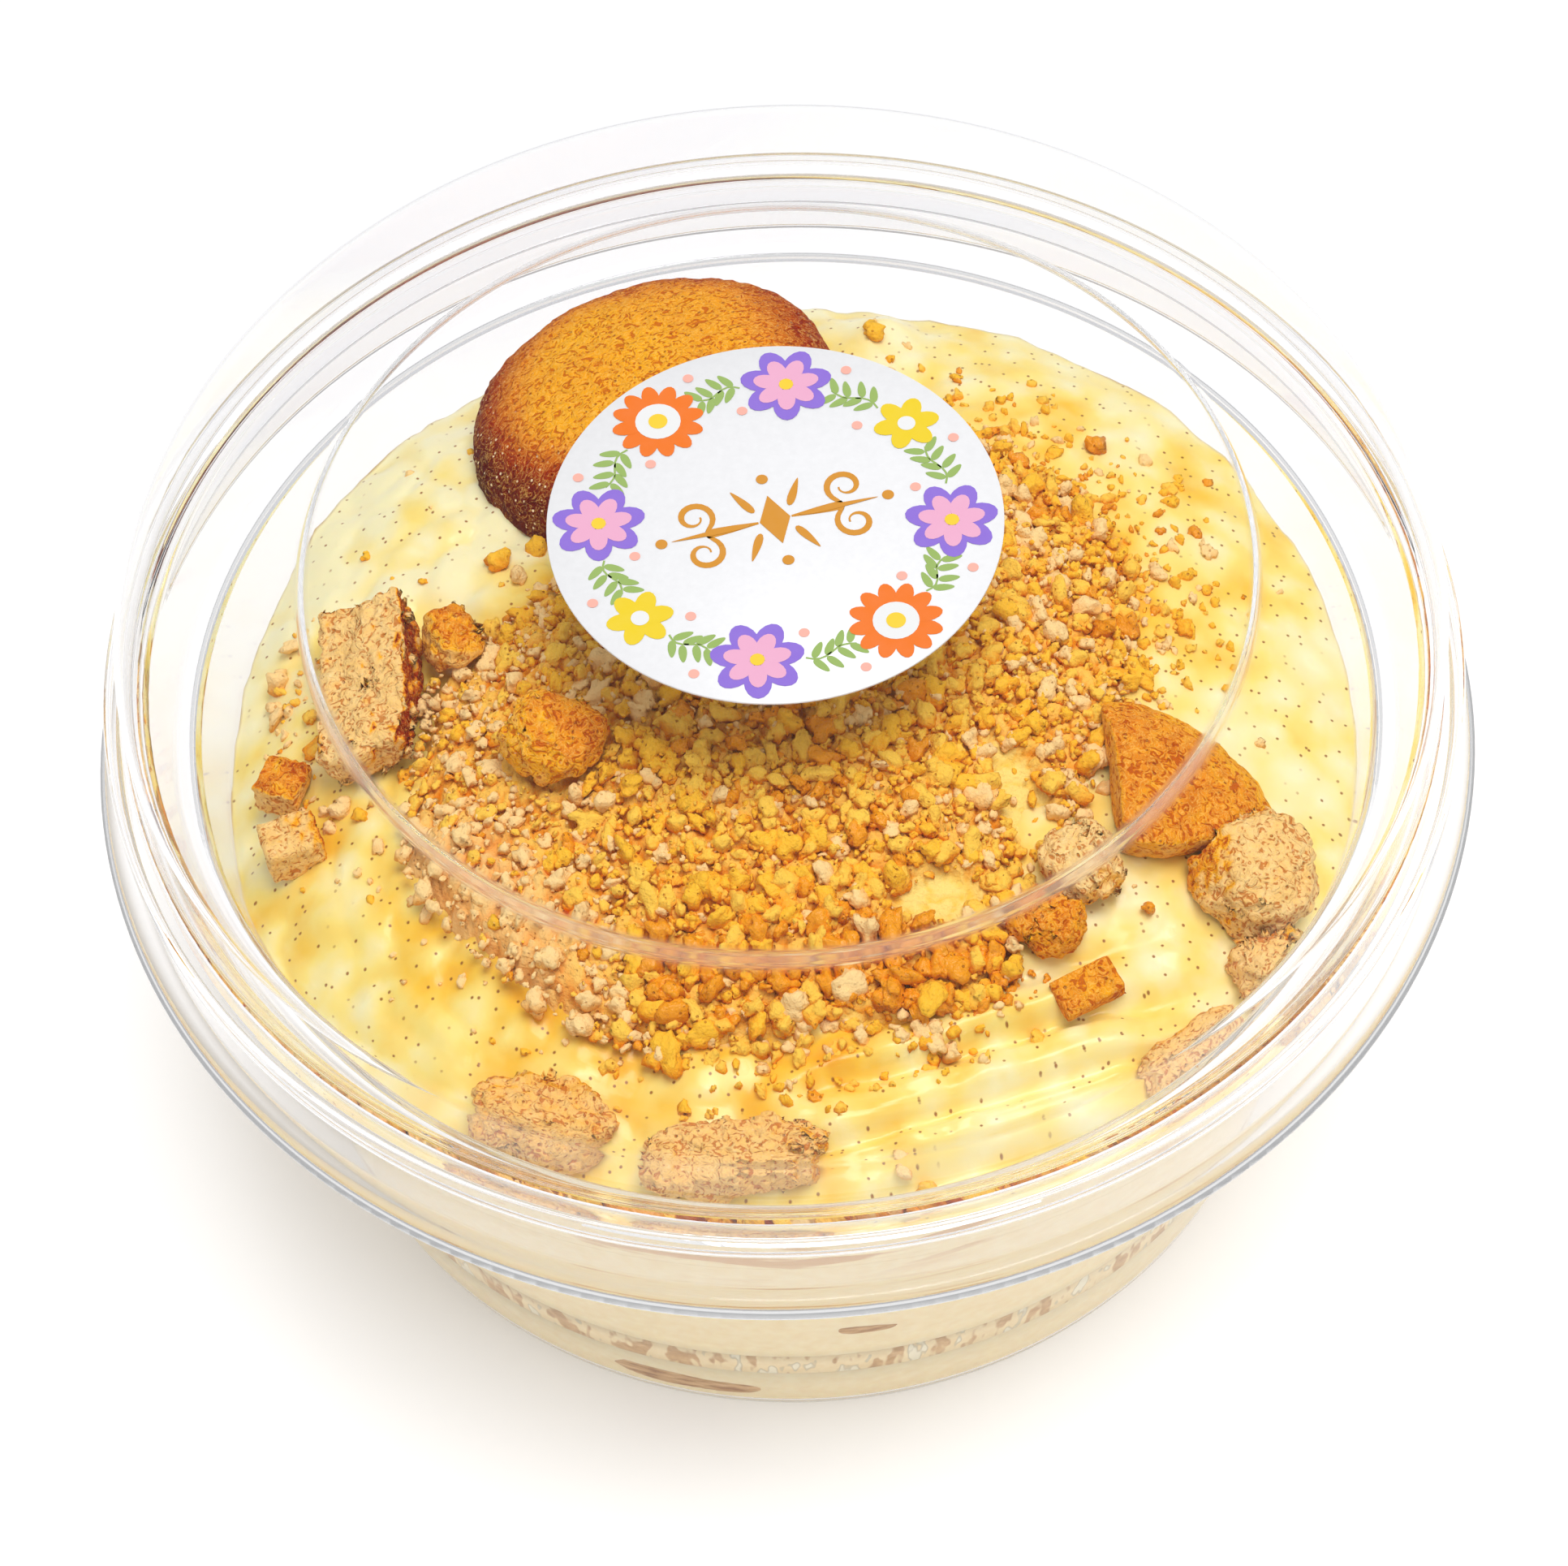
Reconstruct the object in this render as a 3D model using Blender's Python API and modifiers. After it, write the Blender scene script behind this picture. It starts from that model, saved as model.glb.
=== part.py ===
"""Banana pudding in a clear dessert cup with a push-on dome lid.

Metres, +Z up. The origin is the centre of the cup's flat base, and -Y is the front.
Lengths below are in millimetres and become metres in the helper functions.
"""
import math
import random

import bmesh
import bpy
from mathutils import Matrix, Vector, noise

MM = 0.001
SIDES = 40                      # sides of every turned piece
GAP = 0.3                       # clearance between touching pieces

# Cup
CUP_WALL = 0.8
BASE_RADIUS = 43.3              # outside, where the wall starts
BASE_CORNER = 2.4
RIM_INNER_RADIUS = 49.6         # where the wall ends in the seat
RIM_HEIGHT = 46.0
SEAT_RADIUS = 51.2
RISER_RADIUS = 53.5
RISER_TOP = 51.8
HEM_RADIUS = 55.1
HEM_BOTTOM = 48.6

# Lid
LID_WALL = 0.6
LIP_RADIUS = 58.5
LIP_TOP = 43.3
SKIRT_RADIUS = 56.3
BEAD_RADIUS = 57.0
BEAD_BOTTOM = 49.4
BEAD_TOP = 52.8
DOME_RADIUS = 54.9
SHOULDER_ROUND = 3.0
SHOULDER_TOP = 62.7
RING_RADIUS = 38.9
RING_ROUND = 1.6
PLATEAU_HEIGHT = 65.4

# Label on the plateau
LABEL_RADIUS = 18.8
LABEL_CENTRE = (0.0, 3.6)
LABEL_THICKNESS = 0.2

# Pudding and the wafer layer in it
FLOOR_TOP = CUP_WALL + GAP
LAYER_BOTTOM = 8.5
LAYER_TOP = 12.5
CROWN_HEIGHT = 48.0
CROWN_POWER = 4
# Rings of the surface grid, wider apart under the crumb heap
HEAP_RINGS = 6
EDGE_RINGS = 9
HEAP_SHARE = 0.55
RINGS = HEAP_RINGS + EDGE_RINGS
# Height where the pudding meets the wall, by angle in degrees from +X
WALL_LEVELS = {-180: 36.5, -150: 37.5, -120: 39.0, -90: 39.5, -60: 39.5,
               -30: 40.5, 0: 40.0, 45: 41.0, 90: 40.0, 135: 39.5, 180: 36.5}
# Strokes of the spatula at the front right
STROKE_CENTRE = (16.0, -38.0)
STROKE_SPREAD = (17.0, 8.0)
STROKE_ANGLE = math.radians(16)
STROKE_SPACING = 5.2
STROKE_DEPTH = 0.7
PEAKS = (((26.5, -36.5), 1.6, 3.0), ((10.5, 43.0), 2.4, 3.4))  # place, height, width

# Heap of wafer crumbs, its reach by angle in degrees from +X
HEAP_RADII = {-180: 31, -150: 36, -115: 37, -85: 36, -62: 35, -45: 27, -20: 28, 0: 30,
              30: 33, 55: 32, 75: 22, 95: 13, 130: 14, 155: 24, 180: 31}
HEAP_HEIGHT = 5.6
HEAP_EDGE = 0.9
HEAP_GRAINS = 76
HEAP_GRAIN_SIZE = (1.0, 1.9)
LOOSE_GRAINS = 20
LOOSE_GRAIN_SIZE = (0.8, 1.3)
GRAIN_SPREAD = 44.0             # no crumb lies further out than this

# Vanilla wafers
WAFER_RADIUS = 16.7
WAFER_THICKNESS = 8.6
# Broken lumps: size, place in the plan, lift over the pudding, turn in degrees
LUMPS = {
    "wafer_centre": ((9.0, 7.5, 6.5), (-19.2, -8.4), 5.6, (10, 8, -20)),
    "wafer_left_small": ((5.0, 6.2, 5.4), (-27.9, 5.4), 2.5, (0, 10, 20)),
    "wafer_right_lump": ((10.5, 11.0, 8.0), (38.0, -20.4), 2.6, (5, 12, 15)),
    "wafer_right_low": ((7.0, 7.0, 6.5), (38.8, -28.2), 2.2, (0, 0, 40)),
    "wafer_pale": ((7.0, 7.4, 5.0), (23.6, -20.6), 2.0, (0, -6, 30)),
    "wafer_clump": ((6.8, 5.6, 4.6), (20.2, -25.6), 1.6, (0, 0, -15)),
    "wafer_wall_right": ((10.5, 5.0, 5.0), (31.6, -35.8), 1.6, (0, 0, 42)),
    "wafer_front_left": ((12.6, 7.4, 6.6), (-21.4, -39.2), 1.6, (0, 6, -14)),
    "wafer_front": ((16.4, 6.6, 6.2), (-6.0, -43.6), 1.3, (0, 0, 4)),
    "wafer_left_block": ((5.0, 4.2, 4.2), (-42.8, -3.8), 1.4, (0, 0, 15)),
    "wafer_left_block_low": ((6.2, 5.0, 4.8), (-41.8, -10.2), 1.4, (0, 0, 30)),
}
# Pieces set in the pudding at the wall: height, direction in degrees, length, rise
SIDE_WAFERS = {"wafer_side_low": (4.6, -106, 15.0, 4.4), "wafer_side_high": (18.0, -85, 6.4, 2.4)}
SIDE_WAFER_DEPTH = 5.0


# Helpers for the scene, materials and meshes

def new_collection(name):
    collection = bpy.data.collections.new(name)
    bpy.context.scene.collection.children.link(collection)
    return collection


def material(name, colour, roughness, alpha=1.0):
    made = bpy.data.materials.new(name)
    made.use_nodes = True
    shader = made.node_tree.nodes["Principled BSDF"]
    shader.inputs["Base Color"].default_value = (*colour, 1.0)
    shader.inputs["Roughness"].default_value = roughness
    shader.inputs["Metallic"].default_value = 0.0
    shader.inputs["Alpha"].default_value = alpha
    made.diffuse_color = (*colour, alpha)
    return made


def add_mesh_object(name, mesh, collection, surface):
    item = bpy.data.objects.new(name, mesh)
    item.data.materials.append(surface)
    collection.objects.link(item)
    return item


def mesh_from(name, points, faces):
    mesh = bpy.data.meshes.new(name)
    mesh.from_pydata([Vector(point) * MM for point in points], [], faces)
    mesh.update()
    return mesh


def look_up(table, degrees):
    """Value at an angle, eased between the table's entries."""
    degrees = (degrees + 180) % 360 - 180
    angles = sorted(table)
    for low, high in zip(angles, angles[1:]):
        if degrees <= high:
            share = (1 - math.cos(math.pi * (degrees - low) / (high - low))) / 2
            return table[low] + (table[high] - table[low]) * share
    return table[angles[-1]]


def look_up_at(table, x, y):
    return look_up(table, math.degrees(math.atan2(y, x)))


def circle_points(radius, height):
    turn = 2 * math.pi / SIDES
    return [(radius * math.cos(side * turn), radius * math.sin(side * turn), height)
            for side in range(SIDES)]


# Turned shells

def arc(centre, radius, start, end, steps):
    """Points (r, z) of a circular arc, angles in degrees from +r."""
    points = []
    for step in range(steps + 1):
        angle = math.radians(start + (end - start) * step / steps)
        points.append((centre[0] + radius * math.cos(angle),
                       centre[1] + radius * math.sin(angle)))
    return points


def offset_right(points, distance):
    """The same polyline moved to its right by a distance, with mitred corners."""
    moved = []
    for index, point in enumerate(points):
        normals = []
        for start, end in ((index - 1, index), (index, index + 1)):
            if start >= 0 and end < len(points):
                along = Vector(points[end]) - Vector(points[start])
                normals.append(Vector((along.y, -along.x)).normalized())
        mitre = (normals[0] + normals[-1]) / (1 + normals[0].dot(normals[-1]))
        place = Vector(point) + mitre * distance
        moved.append((place.x if point[0] > 0 else 0.0, place.y))
    return moved


def turned(name, profile, collection, surface):
    """A profile of (r, z) points turned about Z, its two ends on the axis."""
    mesh = bpy.data.meshes.new(name)
    edges = [(index, index + 1) for index in range(len(profile) - 1)]
    mesh.from_pydata([(r * MM, 0.0, z * MM) for r, z in profile], edges, [])
    item = add_mesh_object(name, mesh, collection, surface)
    screw = item.modifiers.new("Turn", "SCREW")
    screw.axis = "Z"
    screw.steps = SIDES
    screw.render_steps = SIDES
    screw.use_merge_vertices = True
    screw.merge_threshold = 0.00001
    screw.use_smooth_shade = True
    return item


def wall_radius(height):
    """Inner radius of the cup's tapered wall."""
    low = BASE_RADIUS - CUP_WALL
    share = (height - CUP_WALL) / (RIM_HEIGHT - CUP_WALL)
    return low + (RIM_INNER_RADIUS - low) * share


def make_cup(collection):
    corner = BASE_CORNER - CUP_WALL
    inner = [(0.0, CUP_WALL)]
    inner += arc((wall_radius(BASE_CORNER) - corner, BASE_CORNER), corner, -90, -8, 2)
    inner += [(RIM_INNER_RADIUS, RIM_HEIGHT), (SEAT_RADIUS, RIM_HEIGHT + 0.3)]
    inner += [(RISER_RADIUS, RISER_TOP), (HEM_RADIUS, RISER_TOP), (HEM_RADIUS, HEM_BOTTOM)]
    outer = offset_right(inner, CUP_WALL)
    look = material("clear_cup", (0.9, 0.92, 0.94), 0.05, 0.25)
    return turned("cup", inner + outer[::-1], collection, look)


def make_lid(collection):
    shoulder = (DOME_RADIUS - SHOULDER_ROUND, SHOULDER_TOP - SHOULDER_ROUND)
    ring = (RING_RADIUS - RING_ROUND, PLATEAU_HEIGHT - RING_ROUND)
    top = [(0.0, PLATEAU_HEIGHT)]
    top += arc(ring, RING_ROUND, 90, 12, 2)
    top += [(RING_RADIUS + 0.9, SHOULDER_TOP + 0.7)]
    top += arc(shoulder, SHOULDER_ROUND, 84, 2, 3)
    top += [(DOME_RADIUS + 0.2, BEAD_TOP + 0.3), (BEAD_RADIUS - 0.4, BEAD_TOP - 0.2)]
    top += [(BEAD_RADIUS, BEAD_TOP - 1.2), (BEAD_RADIUS, BEAD_BOTTOM + 0.8)]
    top += [(SKIRT_RADIUS, BEAD_BOTTOM), (SKIRT_RADIUS, LIP_TOP), (LIP_RADIUS, LIP_TOP)]
    under = offset_right(top, LID_WALL)
    look = material("clear_lid", (0.92, 0.94, 0.96), 0.05, 0.25)
    return turned("lid", top + under[::-1], collection, look)


def make_label(collection):
    mesh = bpy.data.meshes.new("label")
    shape = bmesh.new()
    bmesh.ops.create_cone(shape, cap_ends=True, segments=SIDES, radius1=LABEL_RADIUS * MM,
                          radius2=LABEL_RADIUS * MM, depth=LABEL_THICKNESS * MM)
    shape.to_mesh(mesh)
    shape.free()
    look = material("label_paper", (0.93, 0.93, 0.95), 0.45)
    label = add_mesh_object("label", mesh, collection, look)
    height = PLATEAU_HEIGHT + GAP + LABEL_THICKNESS / 2
    label.location = Vector((*LABEL_CENTRE, height)) * MM
    return label


# Heights of the filling

def stroke_relief(x, y):
    """Wavy ridges that the spatula left at the front right."""
    dx, dy = x - STROKE_CENTRE[0], y - STROKE_CENTRE[1]
    along = dx * math.cos(STROKE_ANGLE) + dy * math.sin(STROKE_ANGLE)
    across = dy * math.cos(STROKE_ANGLE) - dx * math.sin(STROKE_ANGLE)
    fade = math.exp(-(along / STROKE_SPREAD[0]) ** 4 - (across / STROKE_SPREAD[1]) ** 4)
    return STROKE_DEPTH * fade * math.sin(2 * math.pi * across / STROKE_SPACING)


def pudding_height(x, y):
    level = look_up_at(WALL_LEVELS, x, y)
    share = min(1.0, math.hypot(x, y) / (wall_radius(level) - GAP))
    height = level + (CROWN_HEIGHT - level) * (1 - share ** CROWN_POWER)
    relief = stroke_relief(x, y) + 0.5 * noise.noise(Vector((x, y, 0)) * 0.11)
    for (peak_x, peak_y), rise, width in PEAKS:
        relief += rise * math.exp(-((x - peak_x) ** 2 + (y - peak_y) ** 2) / width ** 2)
    return height + relief * (1 - share ** 12)


def heap_share(x, y):
    """0 in the middle of the crumb heap, 1 at its edge, more outside it."""
    return math.hypot(x, y) / look_up_at(HEAP_RADII, x, y)


def heap_thickness(x, y):
    share = min(1.0, heap_share(x, y))
    bumps = 0.5 * noise.noise(Vector((x, y, 9)) * 0.3)
    return max(HEAP_EDGE, HEAP_EDGE + HEAP_HEIGHT * (1 - share ** 1.6) + bumps * (1 - share))


def heap_top(x, y):
    return pudding_height(x, y) + GAP + heap_thickness(x, y)


# The surface grid, shared by all that follows the pudding's surface

def grid_places():
    """Rings of (x, y), from near the middle out to the wall."""
    shares = [HEAP_SHARE * (ring + 1) / HEAP_RINGS for ring in range(HEAP_RINGS)]
    shares += [HEAP_SHARE + (1 - HEAP_SHARE) * (ring + 1) / EDGE_RINGS
               for ring in range(EDGE_RINGS)]
    rings = []
    for share in shares:
        places = []
        for x, y, _ in circle_points(1.0, 0.0):
            level = look_up_at(WALL_LEVELS, x, y)
            reach = (wall_radius(level) - GAP) * share
            places.append((x * reach, y * reach))
        rings.append(places)
    return rings


GRID = grid_places()


def heap_cells():
    """How many of each sector's cells, counted from the middle, the heap covers."""
    counts = []
    for side in range(SIDES):
        after = (side + 1) % SIDES
        inside = [max(heap_share(*ring[side]), heap_share(*ring[after])) < 1 for ring in GRID]
        counts.append(inside.index(False))
    return counts


def grid_solid(name, top, bottom, counts, rim=None):
    """A solid between two height functions over the grid's inner cells.

    counts gives how many cells each sector has. A rim, given as one (x, y, z) for
    each side, makes the underside one flat face between those points.
    """
    points, faces, numbers = [], [], {}

    def corner(face, ring, side):
        side %= SIDES
        key = (face, ring, side if ring else 0)
        if key not in numbers:
            x, y = GRID[ring - 1][side] if ring else (0.0, 0.0)
            numbers[key] = len(points)
            if face == "low" and rim:
                points.append(rim[side])
            else:
                points.append((x, y, top(x, y) if face == "high" else bottom(x, y)))
        return numbers[key]

    def cell(face, ring, side):
        corners = [corner(face, ring, side), corner(face, ring + 1, side),
                   corner(face, ring + 1, side + 1)]
        triangles = [corners]
        if ring:
            triangles.append([corners[0], corners[2], corner(face, ring, side + 1)])
        for triangle in triangles:
            faces.append(triangle if face == "high" else triangle[::-1])

    for side in range(SIDES):
        for ring in range(counts[side]):
            cell("high", ring, side)
            if not rim:
                cell("low", ring, side)
        reach, next_reach = counts[side], counts[(side + 1) % SIDES]
        faces.append([corner("high", reach, side), corner("low", reach, side),
                      corner("low", reach, side + 1), corner("high", reach, side + 1)])
        for ring in range(min(reach, next_reach), max(reach, next_reach)):
            wall = [corner("high", ring, side + 1), corner("high", ring + 1, side + 1),
                    corner("low", ring + 1, side + 1), corner("low", ring, side + 1)]
            faces.append(wall if reach > next_reach else wall[::-1])
    if rim:
        faces.append([corner("low", RINGS, side) for side in reversed(range(SIDES))])
    return mesh_from(name, points, faces)


# Booleans

def apply_modifiers(item):
    """Replace an object's mesh by what its modifiers make of it."""
    bpy.context.view_layer.update()
    graph = bpy.context.evaluated_depsgraph_get()
    mesh = bpy.data.meshes.new_from_object(item.evaluated_get(graph))
    old = item.data
    item.modifiers.clear()
    item.data = mesh
    bpy.data.meshes.remove(old)


def boolean(item, other, operation, solver="EXACT"):
    """Cut, keep or join with an object or a collection, and apply it."""
    change = item.modifiers.new(operation.title(), "BOOLEAN")
    change.operation = operation
    change.solver = solver
    if isinstance(other, bpy.types.Collection):
        change.operand_type = "COLLECTION"
        change.collection = other
    else:
        change.object = other
    apply_modifiers(item)


def keep_largest_body(item):
    """Drop the scraps that a cut left beside the main body."""
    shape = bmesh.new()
    shape.from_mesh(item.data)
    bmesh.ops.remove_doubles(shape, verts=shape.verts, dist=0.000002)
    bodies, seen = [], set()
    for start in shape.verts:
        if start in seen:
            continue
        body, queue = [], [start]
        seen.add(start)
        while queue:
            vert = queue.pop()
            body.append(vert)
            for edge in vert.link_edges:
                other = edge.other_vert(vert)
                if other not in seen:
                    seen.add(other)
                    queue.append(other)
        bodies.append(body)
    bodies.sort(key=len)
    for body in bodies[:-1]:
        bmesh.ops.delete(shape, geom=body, context="VERTS")
    shape.to_mesh(item.data)
    shape.free()


def swollen_copy(item):
    """A copy grown by a little more than the gap, for cutting room round an object."""
    copy = bpy.data.objects.new(item.name + "_swollen", item.data.copy())
    copy.matrix_world = item.matrix_world
    bpy.context.scene.collection.objects.link(copy)
    for vert in copy.data.vertices:
        vert.co += vert.normal * GAP * 1.3 * MM
    return copy


def cut_clear_of(item, other):
    copy = swollen_copy(other)
    boolean(item, copy, "DIFFERENCE")
    keep_largest_body(item)
    bpy.data.objects.remove(copy)


def as_cutter(item):
    item.hide_render = True
    item.display_type = "WIRE"
    return item


def make_ground_cutter(counts, collection, surface):
    """What lies under the loose pieces, raised by the gap and widened past the wall."""
    heap_reach = [max(counts[side], counts[side - 1]) for side in range(SIDES)]

    def ground(x, y):
        turn = 2 * math.pi / SIDES
        side = round(math.atan2(y, x) / turn) % SIDES
        heap_edge = math.hypot(*GRID[heap_reach[side] - 1][side])
        covered = math.hypot(x, y) < heap_edge + GAP
        top = heap_top(x, y) if covered else pudding_height(x, y)
        return top + GAP

    depth = 15.0
    widening = 1.4
    mesh = grid_solid("ground", ground, lambda x, y: depth, [RINGS] * SIDES)
    edge = min(math.hypot(*place) for place in GRID[-1]) - 0.5
    for vert in mesh.vertices:
        if math.hypot(vert.co.x, vert.co.y) > edge * MM:
            vert.co.x *= widening
            vert.co.y *= widening
    return as_cutter(add_mesh_object("ground", mesh, collection, surface))


def make_room_cutter(collection, surface):
    """The room inside the cup and under the lid, which the loose pieces stay within."""
    reach = RIM_INNER_RADIUS - GAP
    ceiling = SHOULDER_TOP - 1.5
    profile = [(0.0, ceiling), (reach, ceiling), (reach, RIM_HEIGHT),
               (wall_radius(FLOOR_TOP) - GAP, FLOOR_TOP), (0.0, FLOOR_TOP)]
    return as_cutter(turned("room", profile, collection, surface))


# Wafers

def rough(mesh, size, depth, seed):
    """Push a mesh's points in and out by smooth noise, size and depth in millimetres."""
    for vert in mesh.vertices:
        place = vert.co / MM / size + Vector((seed * 3.1, seed * 1.7, seed * 2.3))
        vert.co += vert.normal * noise.noise(place) * depth * MM


def wafer_mesh(name, sides):
    """A round wafer with a flat base, a rounded edge and a domed top."""
    edge_height = WAFER_THICKNESS * 0.28
    dome_steps = 6
    rows = []
    for step in range(1, dome_steps):
        angle = math.pi / 2 * step / dome_steps
        rows.append((WAFER_RADIUS * 0.97 * math.sin(angle) ** 0.85,
                     edge_height + (WAFER_THICKNESS - edge_height) * math.cos(angle) ** 0.9))
    rows += [(WAFER_RADIUS, edge_height), (WAFER_RADIUS * 0.97, edge_height * 0.35)]
    rows += [(WAFER_RADIUS * 0.9, 0.0)]
    points = [(0, 0, WAFER_THICKNESS)]
    for r, z in rows:
        for side in range(sides):
            angle = 2 * math.pi * side / sides
            points.append((r * math.cos(angle), r * math.sin(angle), z))
    faces = []
    bottom = 1 + (len(rows) - 1) * sides
    for side in range(sides):
        after = (side + 1) % sides
        faces.append((0, 1 + side, 1 + after))
        for row in range(len(rows) - 1):
            above, below = 1 + row * sides, 1 + (row + 1) * sides
            faces.append((above + side, below + side, below + after, above + after))
    faces.append([bottom + side for side in reversed(range(sides))])
    return mesh_from(name, points, faces)


def box_mesh(name, size, cuts):
    mesh = bpy.data.meshes.new(name)
    shape = bmesh.new()
    bmesh.ops.create_cube(shape, size=1.0)
    bmesh.ops.subdivide_edges(shape, edges=shape.edges, cuts=cuts, use_grid_fill=True)
    bmesh.ops.scale(shape, vec=Vector(size) * MM, verts=shape.verts)
    shape.to_mesh(mesh)
    shape.free()
    return mesh


def lump_mesh(name, size, seed):
    """A broken lump: a ball squared up a little, then roughened."""
    mesh = bpy.data.meshes.new(name)
    shape = bmesh.new()
    bmesh.ops.create_icosphere(shape, subdivisions=2, radius=1.0)
    for vert in shape.verts:
        blocky = [math.copysign(abs(value) ** 0.75, value) for value in vert.co]
        pitted = 1 + 0.22 * noise.noise(vert.co * 1.6 + Vector((seed * 5.3, seed, 2)))
        vert.co = Vector([b * s / 2 * pitted * MM for b, s in zip(blocky, size)])
    shape.to_mesh(mesh)
    shape.free()
    return mesh


def stand_on(item, place, lift, turn):
    """Set an object over a place on the pudding, turned by (x, y, z) degrees."""
    height = pudding_height(*place) + lift
    item.location = Vector((*place, height)) * MM
    item.rotation_euler = [math.radians(angle) for angle in turn]


def broken_wafer(name, keep_size, keep_centre, collection, surface, seed):
    """The part of a wafer inside a rough box, as if broken out of it, about its middle."""
    item = add_mesh_object(name, wafer_mesh(name, 24), collection, surface)
    box = box_mesh(name + "_break", keep_size, 3)
    rough(box, 4.0, 1.6, seed)
    breaker = add_mesh_object(name + "_break", box, collection, surface)
    breaker.location = Vector(keep_centre) * MM
    boolean(item, breaker, "INTERSECT")
    bpy.data.objects.remove(breaker)
    middle = sum((vert.co for vert in item.data.vertices), Vector()) / len(item.data.vertices)
    item.data.transform(Matrix.Translation(-middle))
    return item


def make_loose_wafers(collection, crust, crumb):
    """Every piece of wafer as large as a berry that lies on the pudding."""
    whole = add_mesh_object("wafer_whole", wafer_mesh("wafer_whole", 26), collection, crust)
    stand_on(whole, (-9.7, 30.0), -0.9, (-11, -12, 0))
    # A fragment standing on its rim, broken side up and domed side to the right
    left = broken_wafer("wafer_left", (16.0, 14.0, 9.6), (0, 9.5, 4.3), collection, crust, 3)
    stand_on(left, (-33.8, 2.4), -1.0, (0, 0, 0))
    broken_side, domed_side = Vector((-0.35, 0.0, 0.94)), Vector((0.94, 0.0, 0.35))
    left.rotation_euler = Matrix((domed_side.cross(broken_side), -broken_side,
                                  domed_side)).transposed().to_euler()
    # A quarter lying with its broken front edge sunk in the pudding
    right = broken_wafer("wafer_right", (15.0, 15.0, 9.6), (9.0, 9.0, 4.3), collection, crust, 5)
    stand_on(right, (32.2, -13.0), 0.8, (15, 6, 4))
    made = [whole, left, right]
    for seed, (name, (size, place, lift, turn)) in enumerate(LUMPS.items()):
        lump = add_mesh_object(name, lump_mesh(name, size, seed + 1), collection, crumb)
        stand_on(lump, place, lift, turn)
        made.append(lump)
    tablet = add_mesh_object("wafer_tablet", box_mesh("wafer_tablet", (5.6, 3.4, 2.4), 1),
                             collection, crust)
    rough(tablet.data, 3.0, 0.5, 8)
    stand_on(tablet, (23.4, -30.8), 1.3, (14, -8, 24))
    made.append(tablet)
    return made


def make_side_wafers(collection, crust, room):
    """Two pieces of wafer set in the pudding against the wall."""
    made = []
    for name, (height, degrees, length, rise) in SIDE_WAFERS.items():
        angle = math.radians(degrees)
        mesh = lump_mesh(name, (SIDE_WAFER_DEPTH, length, rise), 4)
        item = add_mesh_object(name, mesh, collection, crust)
        reach = wall_radius(height) - SIDE_WAFER_DEPTH / 2
        item.location = Vector((reach * math.cos(angle), reach * math.sin(angle), height)) * MM
        item.rotation_euler = (0, 0, angle)
        boolean(item, room, "INTERSECT")
        keep_largest_body(item)
        made.append(item)
    return made


def middle_of(item):
    corners = [item.matrix_world @ vert.co for vert in item.data.vertices]
    return sum(corners, Vector()) / len(corners)


def reach_of(item):
    middle = middle_of(item)
    return max((item.matrix_world @ vert.co - middle).length for vert in item.data.vertices)


def fit_together(items, ground, room):
    """Trim the loose pieces to the surface, the walls and the pieces before them."""
    for item in items:
        boolean(item, ground, "DIFFERENCE")
        boolean(item, room, "INTERSECT")
        keep_largest_body(item)
    for index, item in enumerate(items):
        for other in items[:index]:
            distance = (middle_of(item) - middle_of(other)).length
            if distance < reach_of(item) + reach_of(other) + GAP * MM:
                cut_clear_of(item, other)


# Crumbs

def grain_mesh(name, size, draw):
    """One crumb: a twenty-sided ball pulled out of round."""
    mesh = bpy.data.meshes.new(name)
    shape = bmesh.new()
    bmesh.ops.create_icosphere(shape, subdivisions=1, radius=size * MM)
    for vert in shape.verts:
        vert.co *= draw.uniform(0.75, 1.15)
    stretch = Vector((draw.uniform(0.8, 1.25), draw.uniform(0.8, 1.25), draw.uniform(0.7, 1.0)))
    bmesh.ops.scale(shape, vec=stretch, verts=shape.verts)
    shape.to_mesh(mesh)
    shape.free()
    return mesh


def clear_of(place, circles, margin):
    """Whether a place in the plan stays clear of circles given as (x, y, radius)."""
    return all(math.hypot(place[0] - x, place[1] - y) > radius + margin for x, y, radius in circles)


def outlines(items):
    """A circle in the plan, in millimetres, round each object."""
    found = []
    for item in items:
        middle = middle_of(item) / MM
        corners = [item.matrix_world @ vert.co / MM for vert in item.data.vertices]
        reach = max(math.hypot(corner.x - middle.x, corner.y - middle.y) for corner in corners)
        found.append((middle.x, middle.y, reach))
    return found


def spread_places(count, draw, accepts, step):
    """Places picked at random, each at least a step from those before it."""
    chosen = []
    for _ in range(count * 60):
        reach = GRAIN_SPREAD * math.sqrt(draw.random())
        angle = draw.uniform(-math.pi, math.pi)
        place = (reach * math.cos(angle), reach * math.sin(angle))
        if accepts(place) and clear_of(place, [(x, y, step) for x, y in chosen], 0):
            chosen.append(place)
        if len(chosen) == count:
            break
    return chosen


def fuse_grains(item, places, sink, surface, draw):
    """Join crumbs, given as (x, y, z, size), onto an object with one union."""
    grains = new_collection(item.name + "_grains")
    for index, (x, y, z, size) in enumerate(places):
        name = f"grain_{index}"
        grain = add_mesh_object(name, grain_mesh(name, size, draw), grains, surface)
        grain.location = Vector((x, y, z + size * sink)) * MM
        grain.rotation_euler = [draw.uniform(0, math.pi) for _ in range(3)]
    boolean(item, grains, "UNION", "MANIFOLD")
    keep_largest_body(item)
    for grain in list(grains.objects):
        bpy.data.objects.remove(grain)
    bpy.data.collections.remove(grains)


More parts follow.
